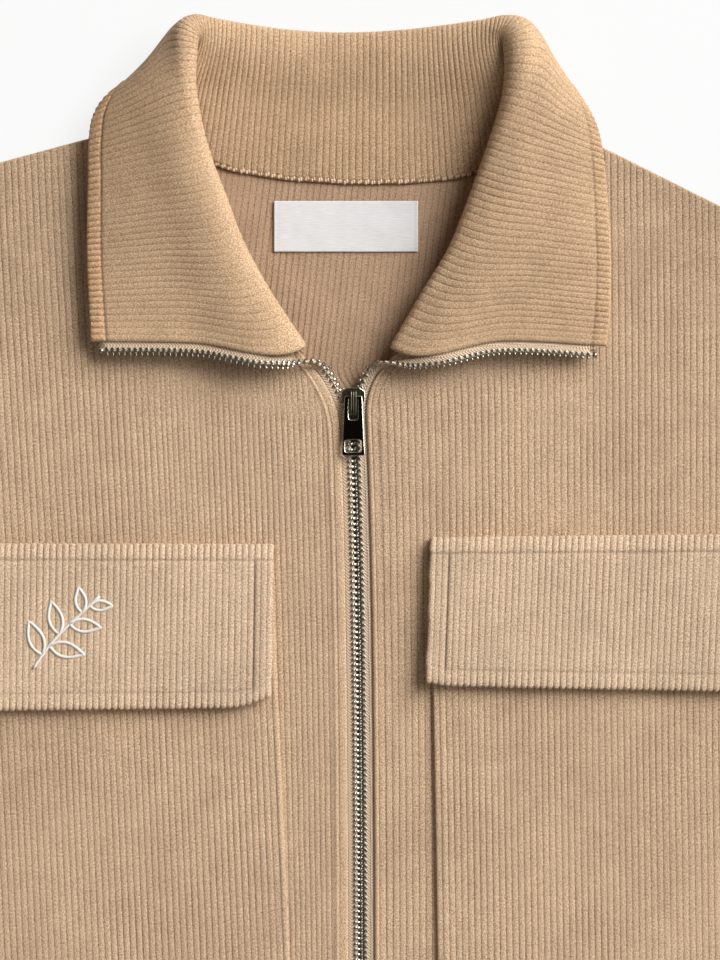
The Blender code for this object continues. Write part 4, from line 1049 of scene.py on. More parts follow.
def add_tube(made, path, radius, sides=8, flat=1.0):
    """Adds a closed round cord along a path to a bmesh. `flat` squashes it in height."""
    heading = np.gradient(path, axis=0)
    heading = heading / np.linalg.norm(heading, axis=1)[:, None]
    aside = np.cross(heading, [0.0, 0.0, 1.0])
    aside = aside / np.maximum(np.linalg.norm(aside, axis=1)[:, None], 1e-6)
    above = np.cross(aside, heading)
    turn = np.linspace(0.0, 2 * np.pi, sides, endpoint=False)
    radius = np.broadcast_to(radius, len(path))[:, None, None]
    cos, sin = np.cos(turn)[None, :, None], np.sin(turn)[None, :, None]
    ring = path[:, None] + radius * (cos * aside[:, None] + flat * sin * above[:, None])
    ring = np.concatenate([ring, ring[:, :1]], axis=1)
    tube = bmesh.new()
    grid = bmesh.ops.create_grid(
        tube, x_segments=sides, y_segments=len(path) - 1, size=1.0
    )["verts"]
    for vertex, point in zip(grid, ring.reshape(-1, 3) * MM):
        vertex.co = point
    bmesh.ops.remove_doubles(tube, verts=tube.verts[:], dist=1e-7)
    bmesh.ops.holes_fill(tube, edges=[edge for edge in tube.edges if edge.is_boundary])
    bmesh.ops.recalc_face_normals(tube, faces=tube.faces[:])
    add_part(made, tube)


def cord_uv(piece):
    """Gives a cord a UV map in millimetres, from where its corners lie."""
    mesh = piece.data
    place = np.zeros(len(mesh.vertices) * 3)
    mesh.vertices.foreach_get("co", place)
    corner = np.zeros(len(mesh.loops), int)
    mesh.loops.foreach_get("vertex_index", corner)
    place = place.reshape(-1, 3)[corner] / MM
    uv = np.stack([place[:, 2], place[:, 0] + place[:, 1]], axis=1)
    mesh.uv_layers.new(name="cloth").data.foreach_set("uv", uv.ravel())


# %% [markdown]
# ## Stitched leaves
#
# The left flap carries a small sprig of leaves, stitched in thick white thread.

# %% Sprig of leaves
SPRIG_STEM = [(-134.0, 84.0), (-128.5, 92.0), (-122.0, 99.5), (-114.0, 107.0), (-106.5, 114.0)]
SPRIG_LEAVES = [
    # place along the stem, angle, length, width
    (0.18, 112.0, 15.0, 3.0), (0.30, -14.0, 15.0, 3.0), (0.46, 104.0, 14.0, 2.8),
    (0.60, -6.0, 13.0, 2.6), (0.76, 98.0, 10.5, 2.2), (0.86, 0.0, 9.5, 2.0),
]
SPRIG_CORD, SPRIG_FLAT, SPRIG_LIFT = 0.6, 0.7, 0.25  # radius, how flat it is sewn, how high


def on_flap(points):
    """Puts plan points on the left flap's face, by the nearest of its points."""
    face = FLAP_FACES["left"]
    nearest = [int(np.argmin(((face[:, :2] - point) ** 2).sum(axis=1))) for point in points]
    return np.column_stack([points, face[nearest, 2] + SPRIG_LIFT])


def leaf_path(base, angle, length, width):
    """Out along one side of a leaf and back along the other."""
    t = np.linspace(0.0, 1.0, 12)
    bulge = width * np.sin(np.pi * t**0.85)
    along = np.concatenate([length * t, length * t[-2::-1]])
    across = np.concatenate([bulge, -bulge[-2::-1]])
    c, s = math.cos(math.radians(angle)), math.sin(math.radians(angle))
    return np.column_stack([base[0] + along * c - across * s, base[1] + along * s + across * c])


made = bmesh.new()
stem_at = np.linspace(0.0, 1.0, len(SPRIG_STEM))
stem = spline(stem_at, SPRIG_STEM, np.linspace(0.0, 1.0, 24))
add_tube(made, on_flap(stem), SPRIG_CORD, flat=SPRIG_FLAT)
for place, angle, length, width in SPRIG_LEAVES:
    base = spline(stem_at, SPRIG_STEM, np.array([place]))[0]
    add_tube(made, on_flap(leaf_path(base, angle, length, width)), SPRIG_CORD, flat=SPRIG_FLAT)
sprig = finished("stitched_sprig", made, woven("white_thread", "#FBF9F6", "#D8D2CA", 0.9, 0.5))
cord_uv(sprig)
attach(sprig, JACKET)

# %% [markdown]
# ## The neck seam
#
# Inside the neck the collar is overlocked to the back: a thick seam with one light loop of
# thread for every wale. The seam's dark brown is painted shade beneath the loops.

# %% Neck seam
SEAM_FROM, SEAM_TO = 128.0, 290.0  # along the collar's band
LOOP = (0.55, 0.95, 0.5)  # half sizes of one strand of a loop of thread
LOOP_BACK, LOOP_HIGH = 1.15, 0.35  # from the seam's middle
SEAM_CORD, SEAM_CORD_PLACE = 0.95, (0.0, 1.1, -0.3)  # the seam's thickness, and where it lies
THREAD = woven("overlock_thread", "#EAD5B8", "#C7A785", period=0.9, zigzag=0.5)
# The seam's cord is coloured dark brown as painted shade beneath the loops.
SHADE = woven("seam_shade_cord", "#A5825F", "#765A3F", period=0.9, zigzag=0.5)


def seam_line(at):
    """Middle of the seam's bulge, just inside the collar's sewn edge."""
    rows = np.array(COLLAR, float)
    x, y = (np.interp(at, rows[:, 0], rows[:, k]) for k in (1, 2))
    return np.stack([x, y - 0.7, np.full_like(x, CLOTH + 0.9)], axis=-1)


made = bmesh.new()
line = seam_line(np.arange(SEAM_FROM, SEAM_TO, 2.0))
add_tube(made, line + SEAM_CORD_PLACE, SEAM_CORD)
seam_cord = finished("neck_seam", made, SHADE)
made = bmesh.new()
loops = np.arange(SEAM_FROM + 1, SEAM_TO - 1, collar_wale)
jitter = np.random.default_rng(61).uniform(-1.0, 1.0, (len(loops), 4))
for place, stray in zip(loops, jitter):
    spot = seam_line(np.array([place + 0.25 * stray[0]]))[0]
    spot = spot + [0.0, LOOP_BACK + 0.3 * stray[1], LOOP_HIGH]
    size = np.array(LOOP) * (1 + 0.15 * stray[2]) * MM
    for aside, ahead in ((-0.45, 0.0), (0.45, 0.35 + 0.2 * stray[3])):
        fresh = bmesh.ops.create_uvsphere(made, u_segments=8, v_segments=5, radius=1.0)["verts"]
        for vertex in fresh:
            vertex.co = (spot + [aside, ahead, 0.0]) * MM + np.array(vertex.co) * size
seam_loops = finished("neck_seam_loops", made, THREAD)
for piece in (seam_cord, seam_loops):
    cord_uv(piece)
    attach(piece, JACKET)

# %% [markdown]
# ## The sleeves
#
# Each sleeve is a tube that lies flat, sewn to the armhole. The wales run down it, and it
# narrows towards the cuff. A few soft folds cross the elbow, where the arm has bent it.

# %% Sleeves
SLEEVE_FOLD, SLEEVE_LOFT, SLEEVE_CUFF, SLEEVE_STRAIGHT = 1.3, 1.6, 72.0, 0.28
SLEEVE_MERGE = 0.00001  # metres
SLEEVE_FOLDS = [
    # along, across, angle, length, width, height; along and across are shares
    (0.10, -0.55, 62.0, 46.0, 10.0, 2.4),
    (0.20, -0.35, 48.0, 44.0, 10.0, 2.0),
    (0.47, -0.45, 70.0, 40.0, 9.0, 3.0),
    (0.55, -0.20, 84.0, 42.0, 9.0, 2.6),
    (0.62, -0.50, 100.0, 36.0, 9.0, 2.4),
    (0.84, 0.15, 12.0, 60.0, 12.0, 1.6),
]
SLEEVE_RINGS, SLEEVE_WALES, SLEEVE_TURN, SLEEVE_UNDER = 48, 60, 8, 21


def sleeve_frame(side, along):
    """Middle, half width and direction across of a sleeve at a share of its length."""
    out, shape = side["out"], side["sleeve"]
    tip, arm = np.array(side["tip"]), np.array(side["underarm"])
    steps = np.linspace(0.0, 1.0, 121)
    angle = np.radians(shape["start"] + (shape["end"] - shape["start"]) * ease(steps / 0.85))
    pace = shape["length"] / (len(steps) - 1)
    path = np.stack([out * np.cos(angle), -np.sin(angle)], axis=1) * pace
    path = np.concatenate([[(0.0, 0.0)], np.cumsum(path[:-1], axis=0)])
    centre = (tip + arm) / 2 + [np.interp(along, steps, path[:, k]) for k in (0, 1)]
    here = np.interp(along, steps, angle)
    square = np.array([out * math.sin(here), math.cos(here)])
    start = (tip - arm) / np.linalg.norm(tip - arm)
    turned = ease(along / SLEEVE_STRAIGHT)
    way = start * (1 - turned) + square * turned
    widest = np.linalg.norm(tip - arm) / 2
    half = widest + (SLEEVE_CUFF - widest) * along**0.8
    return centre, half, way / np.linalg.norm(way)


def sleeve_height(side, along, flat):
    """Height of the middle of the upper layer, at shares across from underarm to shoulder."""
    edge = BACK_MID + 2 * SLEEVE_FOLD
    loft = SLEEVE_LOFT * ease(along / 0.12) + 1.0
    z = edge + loft * (1 - flat**2) ** 0.8
    for at, across, angle, length, width, height in SLEEVE_FOLDS:
        x = (along - at) * side["sleeve"]["length"]
        y = (flat - across) * SLEEVE_CUFF
        fold = ridge(x, y, (0.0, 0.0, angle, length, width, height))
        z = z + fold * (1 - flat**4) * ease(along / 0.08)
    return z


def sleeve_ring(side, along, offset, upper):
    """A ring of points round the flattened tube, offset from the middle of its wall."""
    centre, half, way = sleeve_frame(side, along)
    under = np.linspace(-1.0, 1.0, SLEEVE_UNDER)
    reach = half - SLEEVE_FOLD - CLOTH / 2
    high = sleeve_height(side, along, upper)
    turn = np.pi * np.arange(1, SLEEVE_TURN) / SLEEVE_TURN
    round_fold = []
    for end, turned in ((1.0, turn), (-1.0, np.pi - turn)):
        top = float(sleeve_height(side, along, np.array([end]))[0])
        across = end * (reach + (SLEEVE_FOLD + offset) * np.sin(turned))
        height = (BACK_MID + top) / 2 - ((top - BACK_MID) / 2 + offset) * np.cos(turned)
        round_fold.append(np.stack([across, height], axis=1))
    ring = np.concatenate([
        np.stack([under * reach, np.full_like(under, BACK_MID - offset)], axis=1),
        round_fold[0],
        np.stack([upper[::-1] * reach, high[::-1] + offset], axis=1),
        round_fold[1],
    ])
    place = centre + way * ring[:, :1]
    place[:, 0] += side["out"] * SEAM * (along == 0)
    return np.column_stack([place, ring[:, 1]]), len(under) + len(turn), len(upper)


def make_sleeve(name, side):
    """Outer and inner tube, closed along their length and joined at both ends."""
    lines, _ = wale_lines(float(SLEEVE_WALES), 1.0)
    upper = lines / SLEEVE_WALES * 2 - 1
    shares = np.linspace(0.0, 1.0, SLEEVE_RINGS + 1)
    made, maps = bmesh.new(), []
    for offset in (CLOTH / 2, -CLOTH / 2):
        rings = []
        for along in shares:
            ring, first, count = sleeve_ring(side, along, offset, upper)
            if offset > 0:
                length = side["sleeve"]["length"]
                rib = wale_relief(lines[::-1] * WALE, along * length, WALE, seed=31)
                inside = min(along, 1 - along) * length
                ring[first:first + count, 2] += (rib - WALE_PROUD) * ease(inside / 3.0 + 0.2)
            rings.append(ring)
        net = np.array(rings)
        closed = np.concatenate([net, net[:, :1]], axis=1)
        grid = bmesh.ops.create_grid(
            made, x_segments=closed.shape[1] - 1, y_segments=closed.shape[0] - 1, size=1.0
        )["verts"]
        for vertex, point in zip(grid, closed.reshape(-1, 3) * MM):
            vertex.co = point
        if (offset > 0) == (side["out"] < 0):
            faces = {face for vertex in grid for face in vertex.link_faces}
            bmesh.ops.reverse_faces(made, faces=list(faces))
    return made


def nearer_cuff(side, edge):
    """Whether an edge of the sleeve's rims lies at the cuff rather than at the armhole."""
    place = np.array(edge.verts[0].co)[:2] / MM
    armhole, cuff = (sleeve_frame(side, along)[0] for along in (0.0, 1.0))
    return bool(np.linalg.norm(place - cuff) < np.linalg.norm(place - armhole))


for name, side in SIDES.items():
    made = make_sleeve(name, side)
    layer = made.loops.layers.uv.new("cloth")
    first = SLEEVE_UNDER + SLEEVE_TURN - 1
    count = SLEEVE_WALES * len(WALE_STEPS) + 1
    columns = first + SLEEVE_TURN - 1 + count + 1
    made.verts.index_update()
    for face in made.faces:
        for loop in face.loops:
            index = loop.vert.index % (columns * (SLEEVE_RINGS + 1))
            column, ring = index % columns, index // columns
            place = np.clip((column - first) / (count - 1), -0.2, 1.2) * SLEEVE_WALES * WALE
            loop[layer].uv = (place, ring * side["sleeve"]["length"] / SLEEVE_RINGS)
    bmesh.ops.remove_doubles(made, verts=made.verts[:], dist=SLEEVE_MERGE)
    rims = [edge for edge in made.edges if edge.is_boundary]
    at_cuff = [nearer_cuff(side, edge) for edge in rims]
    for cuff in (False, True):
        rim = [edge for edge, is_cuff in zip(rims, at_cuff) if is_cuff == cuff]
        bmesh.ops.bridge_loops(made, edges=rim)
    bmesh.ops.recalc_face_normals(made, faces=made.faces[:])
    piece = finished(f"sleeve_cloth_{name}", made, CORDUROY["body"])
    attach(piece, JACKET)
    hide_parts(f"sleeve_{name}")

# %% [markdown]
# ## The zip's tapes
#
# A metal zip is sewn on two narrow tapes, woven in a fine herringbone, with a thick cord
# along their inner edges for the teeth to clamp. Each tape lies beside its front's folded
# edge. At the neck it turns over with the collar, and its other face shows below the leaf.

# %% The tapes' route
TAPE, TAPE_BOTTOM, TAPE_DROP = 0.9, -296.0, 0.7
TAPE_TURN, TAPE_CORNER_Z, COLLAR_ACROSS = 15.0, 9.6, 13
SLIDER_TOP, SLIDER_BOTTOM = 200.4, 188.0
TAPE_TUCK = 3.2  # how far inside the leaf's free edge the tape ends
TAPE_FROM = {"left": -0.2, "right": -0.1}  # its outer edge, against the cloth
TAPE_EDGE = {"left": 3.9, "right": 4.3}  # its inner edge, under the teeth


def turning_path(name):
    """Places on the tape's sewn edge, and how far it has turned over, from 0 to 1."""
    side = SIDES[name]
    y = np.concatenate([
        np.linspace(TAPE_BOTTOM, 160.0, 9),
        [168.0, 176.0, 182.0, 188.0, 194.0, SLIDER_TOP, 206.0],
    ])
    x = edge_x(side, y)
    drop = TAPE_DROP * (1 - ease((y - SLIDER_TOP) / 12.0))
    front = np.stack([x, y, front_z(side, x, y) - drop], axis=-1)
    corner_x, corner_y = neck_corner(side)
    corner = [corner_x - side["out"] * 0.5, corner_y - 2.2, TAPE_CORNER_Z]
    end = COLLAR[0 if name == "left" else -1][0]
    section = collar_section(end, np.linspace(0.0, 1.0, COLLAR_ACROSS))[0]
    fall = section[np.hypot(*(section[:, :2] - section[0, :2]).T) > TAPE_TURN]
    line = np.concatenate([front, [corner], fall])
    along = distances(line)
    bend = along[len(y)]
    fine = bend + np.linspace(-TAPE_TURN, TAPE_TURN, 11)
    places = np.concatenate([along[along < fine[0] - 2], fine, along[along > fine[-1] + 2]])
    return spline(along, line, places), ease((places - bend) / (2 * TAPE_TURN) + 0.5)


def tape_route(name, step=1.0):
    """Evenly spaced points of the sewn edge, the way out across the tape, and its reach."""
    side = SIDES[name]
    path, share = turning_path(name)
    places = distances(path)
    heading = np.gradient(path[:, :2], places, axis=0)
    heading = heading / np.linalg.norm(heading, axis=1)[:, None]
    inward = -side["out"] * np.stack([heading[:, 1], -heading[:, 0]], axis=1)
    turn = math.pi * share[:, None]
    way = np.hstack([inward * np.cos(turn), np.sin(turn)])
    # Standing on edge, it keeps clear of the cloth by half its own wall.
    clear = np.stack([-side["out"] * (1 - share), 0.3 - 1.3 * share, 0 * share], axis=1)
    clear = clear / np.linalg.norm(clear, axis=1)[:, None] * TAPE * 0.9 * np.sin(turn)
    at = np.arange(0.0, places[-1] - TAPE_TUCK, step)
    path = spline(places, path + clear, at)
    way = np.stack([np.interp(at, places, way[:, k]) for k in range(3)], axis=1)
    way = way / np.linalg.norm(way, axis=1)[:, None]
    return at, path, way


def chain_gap(y):
    """How far a tape's edge stays from the zip's middle: close below the slider."""
    return 0.35 + 2.0 * ease((y - SLIDER_BOTTOM - 3.0) / 6.0)


# %% Tapes
TAPE_WEAVE = woven("zip_tape_weave", "#EBD6BC", "#9C7E62")
CORD = woven("zip_cord", "#F0E0CA", "#B79A7C", period=1.1, zigzag=0.6)
ROUTES = {name: tape_route(name) for name in SIDES}
TAPE_SHARES = np.array([0.0, 0.1, 0.25, 0.45, 0.65, 0.8, 0.9, 0.97, 1.0])  # across the tape
CORD_IN, CORD_RADIUS = 0.55, 0.72  # how far inside the tape's edge its cord lies

for name in SIDES:
    at, path, way = ROUTES[name]
    from_zip = np.abs(zip_x(path[:, 1]) - path[:, 0])
    reach = np.minimum(from_zip - chain_gap(path[:, 1]), TAPE_EDGE[name])
    out = TAPE_FROM[name] + (reach[:, None] - TAPE_FROM[name]) * TAPE_SHARES
    keep = (len(at) - 1) // HIDDEN_SHARE * HIDDEN_SHARE + 1
    middle = (path[:, None] + way[:, None] * out[..., None])[:keep]
    out = out[:keep]
    if name == "right":
        middle, out = middle[:, ::-1], out[:, ::-1]
    uv = np.stack([out, np.broadcast_to(at[:keep, None], out.shape)], axis=-1)
    piece = cloth_wall(f"tape_{name}", middle, 0 * out, uv, TAPE, TAPE_WEAVE, rounding=0.4)
    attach(piece, JACKET)
    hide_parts(f"zip_tape_{name}")
    made = bmesh.new()
    inner = (path + way * (reach[:, None] - CORD_IN))[::2]
    add_tube(made, inner, CORD_RADIUS, sides=6)
    cord = finished(f"tape_cord_{name}", made, CORD)
    cord_uv(cord)
    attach(cord, JACKET)

# %% The right tape's selvedge
LOOP_PITCH, LOOP_IN, LOOP_UP, LOOP_RADIUS = 1.17, 1.2, -0.25, 0.6
at, path, way = ROUTES["right"]
made = bmesh.new()
for place in np.arange(at[0] + 1.0, at[-1] - 1.0, LOOP_PITCH):
    origin, out = (
        np.array([np.interp(place, at, values[:, k]) for k in range(3)]) for values in (path, way)
    )
    spot = origin + out * LOOP_IN + np.cross(out, [0.0, 1.0, 0.0]) * LOOP_UP
    fresh = bmesh.ops.create_icosphere(made, subdivisions=1, radius=LOOP_RADIUS * MM)["verts"]
    bmesh.ops.translate(made, verts=fresh, vec=spot * MM)
selvedge = finished("tape_selvedge_right", made, CORD)
cord_uv(selvedge)
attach(selvedge, JACKET)

# %% [markdown]
# ## Teeth
#
# Each tooth is a nickel clamp pressed over the tape's cord, with a head that narrows
# towards its tip. Below the slider the two rows mesh, half a step apart. Above it each row
# runs on by itself, round the neck and along the collar's edge.

# %% Metals
def metal(name, base, dull, roughness):
    """Plated metal: nearly a mirror, with faint blotches where handling has dulled it."""
    made, tree, shader = new_material(name, Metallic=1.0)
    place = add_node(tree, "TexCoord").outputs["Object"]
    blotch = add_node(
        tree, "TexNoise", {"Vector": place, "Scale": 1 / (1.6 * MM), "Detail": 3.0}
    ).outputs["Fac"]
    colour = add_node(
        tree, "Mix", {0: blotch, 6: hex_colour(base), 7: hex_colour(dull)}, data_type="RGBA"
    ).outputs[2]
    tree.links.new(colour, shader.inputs["Base Color"])
    rough = add_node(
        tree, "MapRange", {"Value": blotch, "To Min": roughness * 0.7, "To Max": roughness * 1.4}
    ).outputs[0]
    tree.links.new(rough, shader.inputs["Roughness"])
    return made


NICKEL = metal("dark_nickel", "#B9B3A6", "#918B7B", 0.26)
GUNMETAL = metal("gunmetal", "#6E6A58", "#5A5646", 0.3)
BLACK_NICKEL = metal("black_nickel", "#35302B", "#241F1B", 0.16)
# A brighter metal for the bevelled rims, as painted highlight.
HIGHLIGHT_RIM_METAL = metal("painted_highlight_rim", "#E9E4D4", "#C9C3AE", 0.25)

# %% Teeth
TOOTH_PITCH, OPEN_PITCH = 2.23, 2.38
TOOTH = {  # from the tape's sewn edge: where the clamp begins, its crown slopes, its tip is
    "left": (2.4, 3.5, 5.0, 5.95),
    "right": (2.9, 3.7, 4.9, 5.8),
}
TOOTH_WIDE, TOOTH_HIGH, TIP_WIDE, TIP_HIGH, BEVEL = 1.4, 2.3, 1.0, 0.9, 0.11


def tooth_pattern(clamp, crown, neck, tip):
    """One tooth, X out from the tape's sewn edge, Y along the tape, Z through it."""
    made = bmesh.new()
    for start, end, wide, high, far_high in (
        (clamp, crown, TOOTH_WIDE, TOOTH_HIGH, TOOTH_HIGH),
        (crown - 0.2, neck, TOOTH_WIDE - 0.05, TOOTH_HIGH, TIP_HIGH + 0.1),
        (neck - 0.2, tip, TIP_WIDE, TIP_HIGH, TIP_HIGH),
    ):
        block = bmesh.ops.create_cube(made, size=1.0)["verts"]
        for vertex in block:
            tall = far_high if vertex.co.x > 0 else high
            vertex.co.x = (start + end) / 2 + vertex.co.x * (end - start)
            vertex.co.y *= wide
            vertex.co.z *= tall
        edges = {edge for vertex in block for edge in vertex.link_edges}
        bmesh.ops.bevel(
            made, geom=list(edges), offset=BEVEL, segments=1, affect="EDGES", profile=0.5
        )
    bmesh.ops.scale(made, verts=made.verts[:], vec=(MM, MM, MM))
    mesh = bpy.data.meshes.new("tooth_pattern")
    made.to_mesh(mesh)
    made.free()
    return mesh


def tooth_places(name):
    """Distances along the tape: meshed up to the slider, a little wider apart beyond."""
    at, path, _ = ROUTES[name]
    slider = float(np.interp(SLIDER_BOTTOM, path[:400, 1], at[:400]))
    half = 0.0 if name == "left" else TOOTH_PITCH / 2
    closed = np.arange(slider - half, at[0] + 1.0, -TOOTH_PITCH)[::-1]
    return np.concatenate([closed, np.arange(slider - half + OPEN_PITCH, at[-1] - 1.2, OPEN_PITCH)])


for name in SIDES:
    at, path, way = ROUTES[name]
    pattern = tooth_pattern(*TOOTH[name])
    made = bmesh.new()
    heading = np.gradient(path, axis=0)
    for place in tooth_places(name):
        origin, out, ahead = (
            np.array([np.interp(place, at, values[:, k]) for k in range(3)])
            for values in (path, way, heading)
        )
        ahead = ahead - out * (ahead @ out)
        ahead = ahead / np.linalg.norm(ahead)
        up = np.cross(out, ahead)
        start = len(made.verts)
        made.from_mesh(pattern)
        made.verts.ensure_lookup_table()
        fresh = made.verts[start:]
        local = np.array([vertex.co for vertex in fresh])
        moved = origin * MM + local @ np.array([out, ahead, up])
        for vertex, point in zip(fresh, moved):
            vertex.co = point
    bpy.data.meshes.remove(pattern)
    teeth = finished(f"teeth_{name}", made, NICKEL)
    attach(teeth, JACKET)

# %% [markdown]
# ## Slider and pull tab
#
# The slider's upper plate has sloping shoulders, and a bridge arches over it to hold the
# pull. The pull is a black nickel tab with a slot round the bridge and a window near its
# end. A brighter metal on the bevelled rims that don't face down the jacket paints a
# highlight, a thin light line round the dark tab and round the slider.

# %% Slider and pull
SLIDER_WIDE, SLIDER_NARROW, SLIDER_SLOT, SLIDER_PLATE = 9.7, 7.6, 1.45, 0.8
POST_WIDTH, POST_LENGTH = 2.4, 3.0
BRIDGE_RISE, BRIDGE_WALL, BRIDGE_TOP, BRIDGE_BOTTOM = 2.0, 0.8, 199.4, 188.4
HINGE_Y, HINGE_RISE, PULL_BAR, PULL_END, PULL_WALL = 196.4, 1.15, 0.55, 172.2, 1.2
PULL_WIDE, PULL_NARROW, PULL_SLOT, PULL_SLOT_LENGTH = 9.6, 7.5, 3.8, 9.3
PULL_WINDOW, PULL_WINDOW_FROM_END, PULL_LEAN = (6.8, 5.0), 1.5, 2.0
PULL = "pull"


def add_plate(made, outlines, low, high, bevel=0.0):
    """Adds a flat plate with rounded rims to a bmesh. Outlines inside the first are holes."""
    curve = bpy.data.curves.new("plate", "CURVE")
    curve.dimensions, curve.fill_mode = "2D", "BOTH"
    curve.extrude = (high - low) / 2 * MM - bevel * MM
    curve.bevel_depth, curve.offset, curve.bevel_resolution = bevel * MM, -bevel * MM, 1
    for outline in outlines:
        line = curve.splines.new("POLY")
        line.points.add(len(outline) - 1)
        line.use_cyclic_u = True
        for point, (x, y) in zip(line.points, outline):
            point.co = (x * MM, y * MM, 0.0, 1.0)
    plate = bpy.data.objects.new("plate", curve)
    mesh = bpy.data.meshes.new_from_object(plate)
    mesh.materials.clear()
    part = bmesh.new()
    part.from_mesh(mesh)
    bmesh.ops.translate(part, verts=part.verts[:], vec=(0.0, 0.0, (low + high) / 2 * MM))
    bmesh.ops.remove_doubles(part, verts=part.verts[:], dist=2e-6)
    add_part(made, part)
    bpy.data.objects.remove(plate)
    bpy.data.curves.remove(curve)
    bpy.data.meshes.remove(mesh)


def highlight_rims(made):
    """Gives the second material, a brighter metal as painted highlight, to the bevelled faces that
    slope between flat and upright, except those that face down the jacket.
    """
    made.normal_update()
    for face in made.faces:
        if 0.15 < abs(face.normal.z) < 0.97 and face.normal.y > -0.2:
            face.material_index = 1


def rounded(x0, y0, x1, y1, radius):
    """A rectangle with rounded corners."""
    corners = [(x1, y1, 0), (x0, y1, 90), (x0, y0, 180), (x1, y0, 270)]
    points = []
    for x, y, start in corners:
        x -= math.copysign(radius, x - (x0 + x1) / 2)
        y -= math.copysign(radius, y - (y0 + y1) / 2)
        for turn in (0, 45, 90):
            a = math.radians(start + turn)
            points.append((x + radius * math.cos(a), y + radius * math.sin(a)))
    return points


def slider_place():
    """X and Z of the slider's middle, which is level with the tapes."""
    y = (SLIDER_TOP + SLIDER_BOTTOM) / 2
    z = sum(float(front_z(side, edge_x(side, y), y)) for side in SIDES.values()) / 2
    return float(zip_x(y)), z - TAPE_DROP


def slider_outline(shrink=0.0):
    """Plan of the slider: shoulders at the top, narrower towards the closed chain."""
    x = slider_place()[0]
    wide, narrow = SLIDER_WIDE / 2 - shrink, SLIDER_NARROW / 2 - shrink
    shoulder, waist = SLIDER_TOP - 1.6, SLIDER_TOP - 5.2
    return [
        (x - narrow, SLIDER_BOTTOM), (x + narrow, SLIDER_BOTTOM), (x + narrow, waist - 2.0),
        (x + wide, waist), (x + wide, shoulder), (x + wide - 2.2, SLIDER_TOP),
        (x - wide + 2.2, SLIDER_TOP), (x - wide, shoulder), (x - wide, waist),
        (x - narrow, waist - 2.0),
    ]


slider_x, slider_z = slider_place()
plate_low, plate_high = slider_z + SLIDER_SLOT, slider_z + SLIDER_SLOT + SLIDER_PLATE
under_high, under_low = slider_z - SLIDER_SLOT, slider_z - SLIDER_SLOT - SLIDER_PLATE
made = bmesh.new()
add_plate(made, [slider_outline()], plate_low, plate_high, 0.22)
add_plate(made, [slider_outline(0.3)], under_low, under_high, 0.15)
post_x, post_y = POST_WIDTH / 2, SLIDER_TOP - 0.5
add_plate(
    made, [rounded(slider_x - post_x, post_y - POST_LENGTH, slider_x + post_x, post_y, 0.5)],
    under_high - 0.2, plate_low + 0.2,
)
highlight_rims(made)
slider = finished("slider_body", made, GUNMETAL)
slider.data.materials.append(HIGHLIGHT_RIM_METAL)

# %% The slider's bridge
# It is a flat bar, bent up out of the plate at both ends.
rise, half = BRIDGE_RISE + BRIDGE_WALL / 2, (BRIDGE_TOP - BRIDGE_BOTTOM - BRIDGE_WALL) / 2
turn = np.linspace(0.0, np.pi, 25)
arch = np.stack([
    np.full_like(turn, slider_x),
    (BRIDGE_TOP + BRIDGE_BOTTOM) / 2 + half * np.sign(np.cos(turn)) * np.abs(np.cos(turn)) ** 0.5,
    plate_high - 0.1 + rise * np.sin(turn) ** 0.4,
], axis=1)
made = bmesh.new()
for offset, radius in ((-0.95, 0.42), (0.0, 0.4), (0.95, 0.42)):
    add_tube(made, arch + [offset, 0.0, 0.0], radius, sides=8)
bridge = finished("slider_bridge", made, GUNMETAL)
for piece in (slider, bridge):
    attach(piece, JACKET)
    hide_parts("zip_slider")

# %% The pull
# It is made level at the origin, then leaned and set on its hinge.
length, top = HINGE_Y - PULL_END, PULL_BAR + 0.1
narrow, wide = PULL_NARROW / 2, PULL_WIDE / 2
tab = [
    (-wide + 0.5, -length + 0.15), (-wide + 1.1, -length), (wide - 1.1, -length),
    (wide - 0.5, -length + 0.15), (wide - 0.1, -length + 0.6), (wide, -length + 1.2),
    (narrow, top - 0.9), (narrow - 0.25, top - 0.25), (narrow - 0.9, top),
    (-narrow + 0.9, top), (-narrow + 0.25, top - 0.25), (-narrow, top - 0.9),
    (-wide, -length + 1.2), (-wide + 0.1, -length + 0.6),
]
window_low = -length + PULL_WINDOW_FROM_END
window_x = PULL_WINDOW[0] / 2
window = rounded(-window_x, window_low, window_x, window_low + PULL_WINDOW[1], 0.7)
slot = rounded(-PULL_SLOT / 2, -PULL_SLOT_LENGTH, PULL_SLOT / 2, -PULL_BAR + 0.2, 0.8)
made = bmesh.new()
add_plate(made, [tab, slot, window], -PULL_WALL / 2, PULL_WALL / 2, 0.3)
highlight_rims(made)
bar_end = PULL_SLOT / 2 + 0.5
bar = np.array([(-bar_end, 0.0, 0.0), (0.0, 0.0, 0.0), (bar_end, 0.0, 0.0)])
add_tube(made, bar, PULL_BAR, sides=10)
lean = math.radians(PULL_LEAN)
hinge = (slider_x * MM, HINGE_Y * MM, (plate_high + HINGE_RISE) * MM)
for vertex in made.verts:
    x, y, z = vertex.co
    vertex.co = (
        hinge[0] + x, hinge[1] + y * math.cos(lean) - z * math.sin(lean),
        hinge[2] + y * math.sin(lean) + z * math.cos(lean),
    )
pull = finished("pull_tab", made, BLACK_NICKEL)
pull.data.materials.append(HIGHLIGHT_RIM_METAL)
for piece in (slider, pull):
    piece.data.set_sharp_from_angle(angle=math.radians(12))
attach(pull, PULL)
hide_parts("zip_pull")

# %% Stops and the box at the zip's foot
STOP_OUT, STOP_LONG, STOP_RADIUS = 3.9, 1.8, 1.15
made = bmesh.new()
for name in SIDES:
    at, path, way = ROUTES[name]
    last = path[-1] + way[-1] * STOP_OUT
    ahead = path[-1] - path[-4]
    ahead = ahead / np.linalg.norm(ahead)
    line = np.array([last - ahead * STOP_LONG * share for share in (0.0, 0.5, 1.0)])
    add_tube(made, line, STOP_RADIUS, flat=0.8)
stops = finished("top_stops", made, NICKEL)
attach(stops, JACKET)

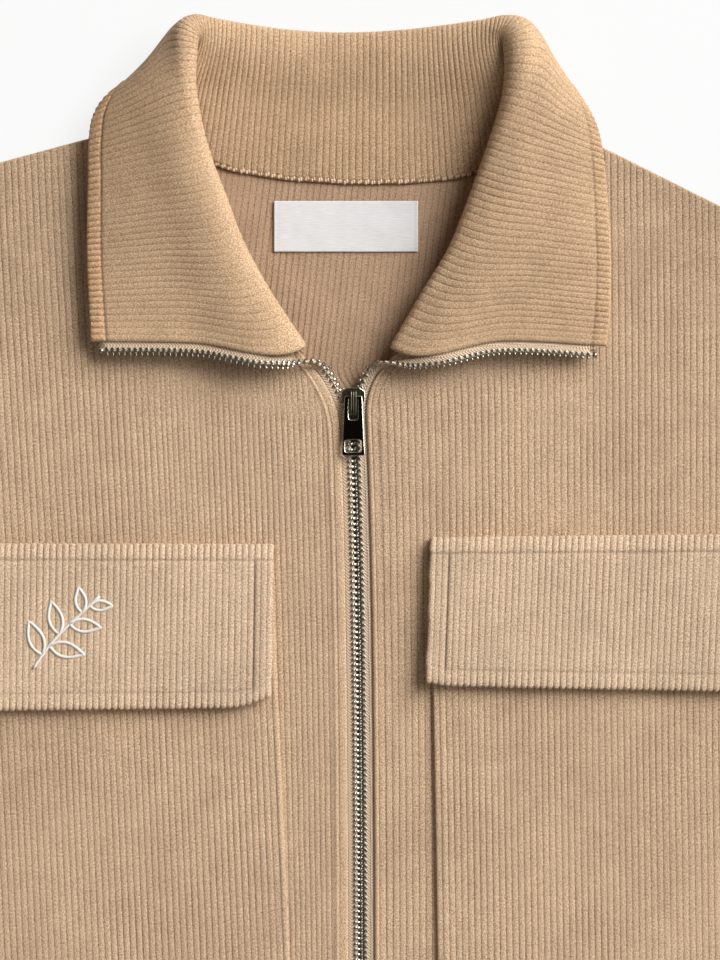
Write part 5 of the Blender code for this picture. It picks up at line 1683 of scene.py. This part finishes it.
foot = bpy.data.objects["zip_box"]
for slot_of_foot in foot.material_slots:
    slot_of_foot.material = GUNMETAL

# %% [markdown]
# ## The neck label
#
# A woven satin label, folded under at its ends and sewn down there. It is bare.

# %% Label
LABEL = {"left": -34.6, "right": 25.4, "top": 278.2, "bottom": 257.0}
LABEL_WALL = 0.8
LABEL_STEP, LABEL_FINE = 1.0, (0.2, 0.5, 1.0)  # its grid, and the lines near its edges
across = steps_of_four(edge_lines(LABEL["left"], LABEL["right"], LABEL_STEP, LABEL_FINE))
rows = steps_of_four(edge_lines(LABEL["bottom"], LABEL["top"], LABEL_STEP, LABEL_FINE))
x, y = np.meshgrid(across, rows)
from_end = np.minimum(x - LABEL["left"], LABEL["right"] - x)
waves = 0.12 * unevenness(x, y, 9.0, 7.0, 51) + 0.05 * unevenness(x, y, 3.0, 2.4, 52)
pinch = -0.25 * near(from_end, 1.3, 0.35) * (1 + 0.6 * np.cos(y * 2 * np.pi / 1.8))
z = np.full_like(x, CLOTH + SEAM + LABEL_WALL / 2)
middle = np.stack([x, y, z], axis=-1)

# %% Satin
satin, tree, shader = new_material("woven_satin", Roughness=0.5, Specular_IOR_Level=0.4)
place = add_node(tree, "TexCoord").outputs["Object"]
# Satin floats run across the label; real ones are 0.15 mm apart, drawn at 0.5 mm.
threads = add_node(tree, "Mapping", {"Vector": place, "Scale": (220.0, 2000.0, 1.0)}).outputs[0]
threads = add_node(
    tree, "TexNoise", {"Vector": threads, "Scale": 1.0, "Detail": 1.0}
).outputs["Fac"]
colour = add_node(
    tree, "Mix", {0: threads, 6: hex_colour("#D2D1D0"), 7: hex_colour("#E9E8E8")}, data_type="RGBA"
).outputs[2]
tree.links.new(colour, shader.inputs["Base Color"])
bump = add_node(tree, "Bump", {"Height": threads, "Strength": 0.3, "Distance": 0.0002})
tree.links.new(bump.outputs[0], shader.inputs["Normal"])
label = cloth_wall(
    "neck_label", middle, waves + pinch, np.stack([x, y], axis=-1), LABEL_WALL, satin, rounding=0.4
)
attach(label, JACKET)
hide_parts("label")
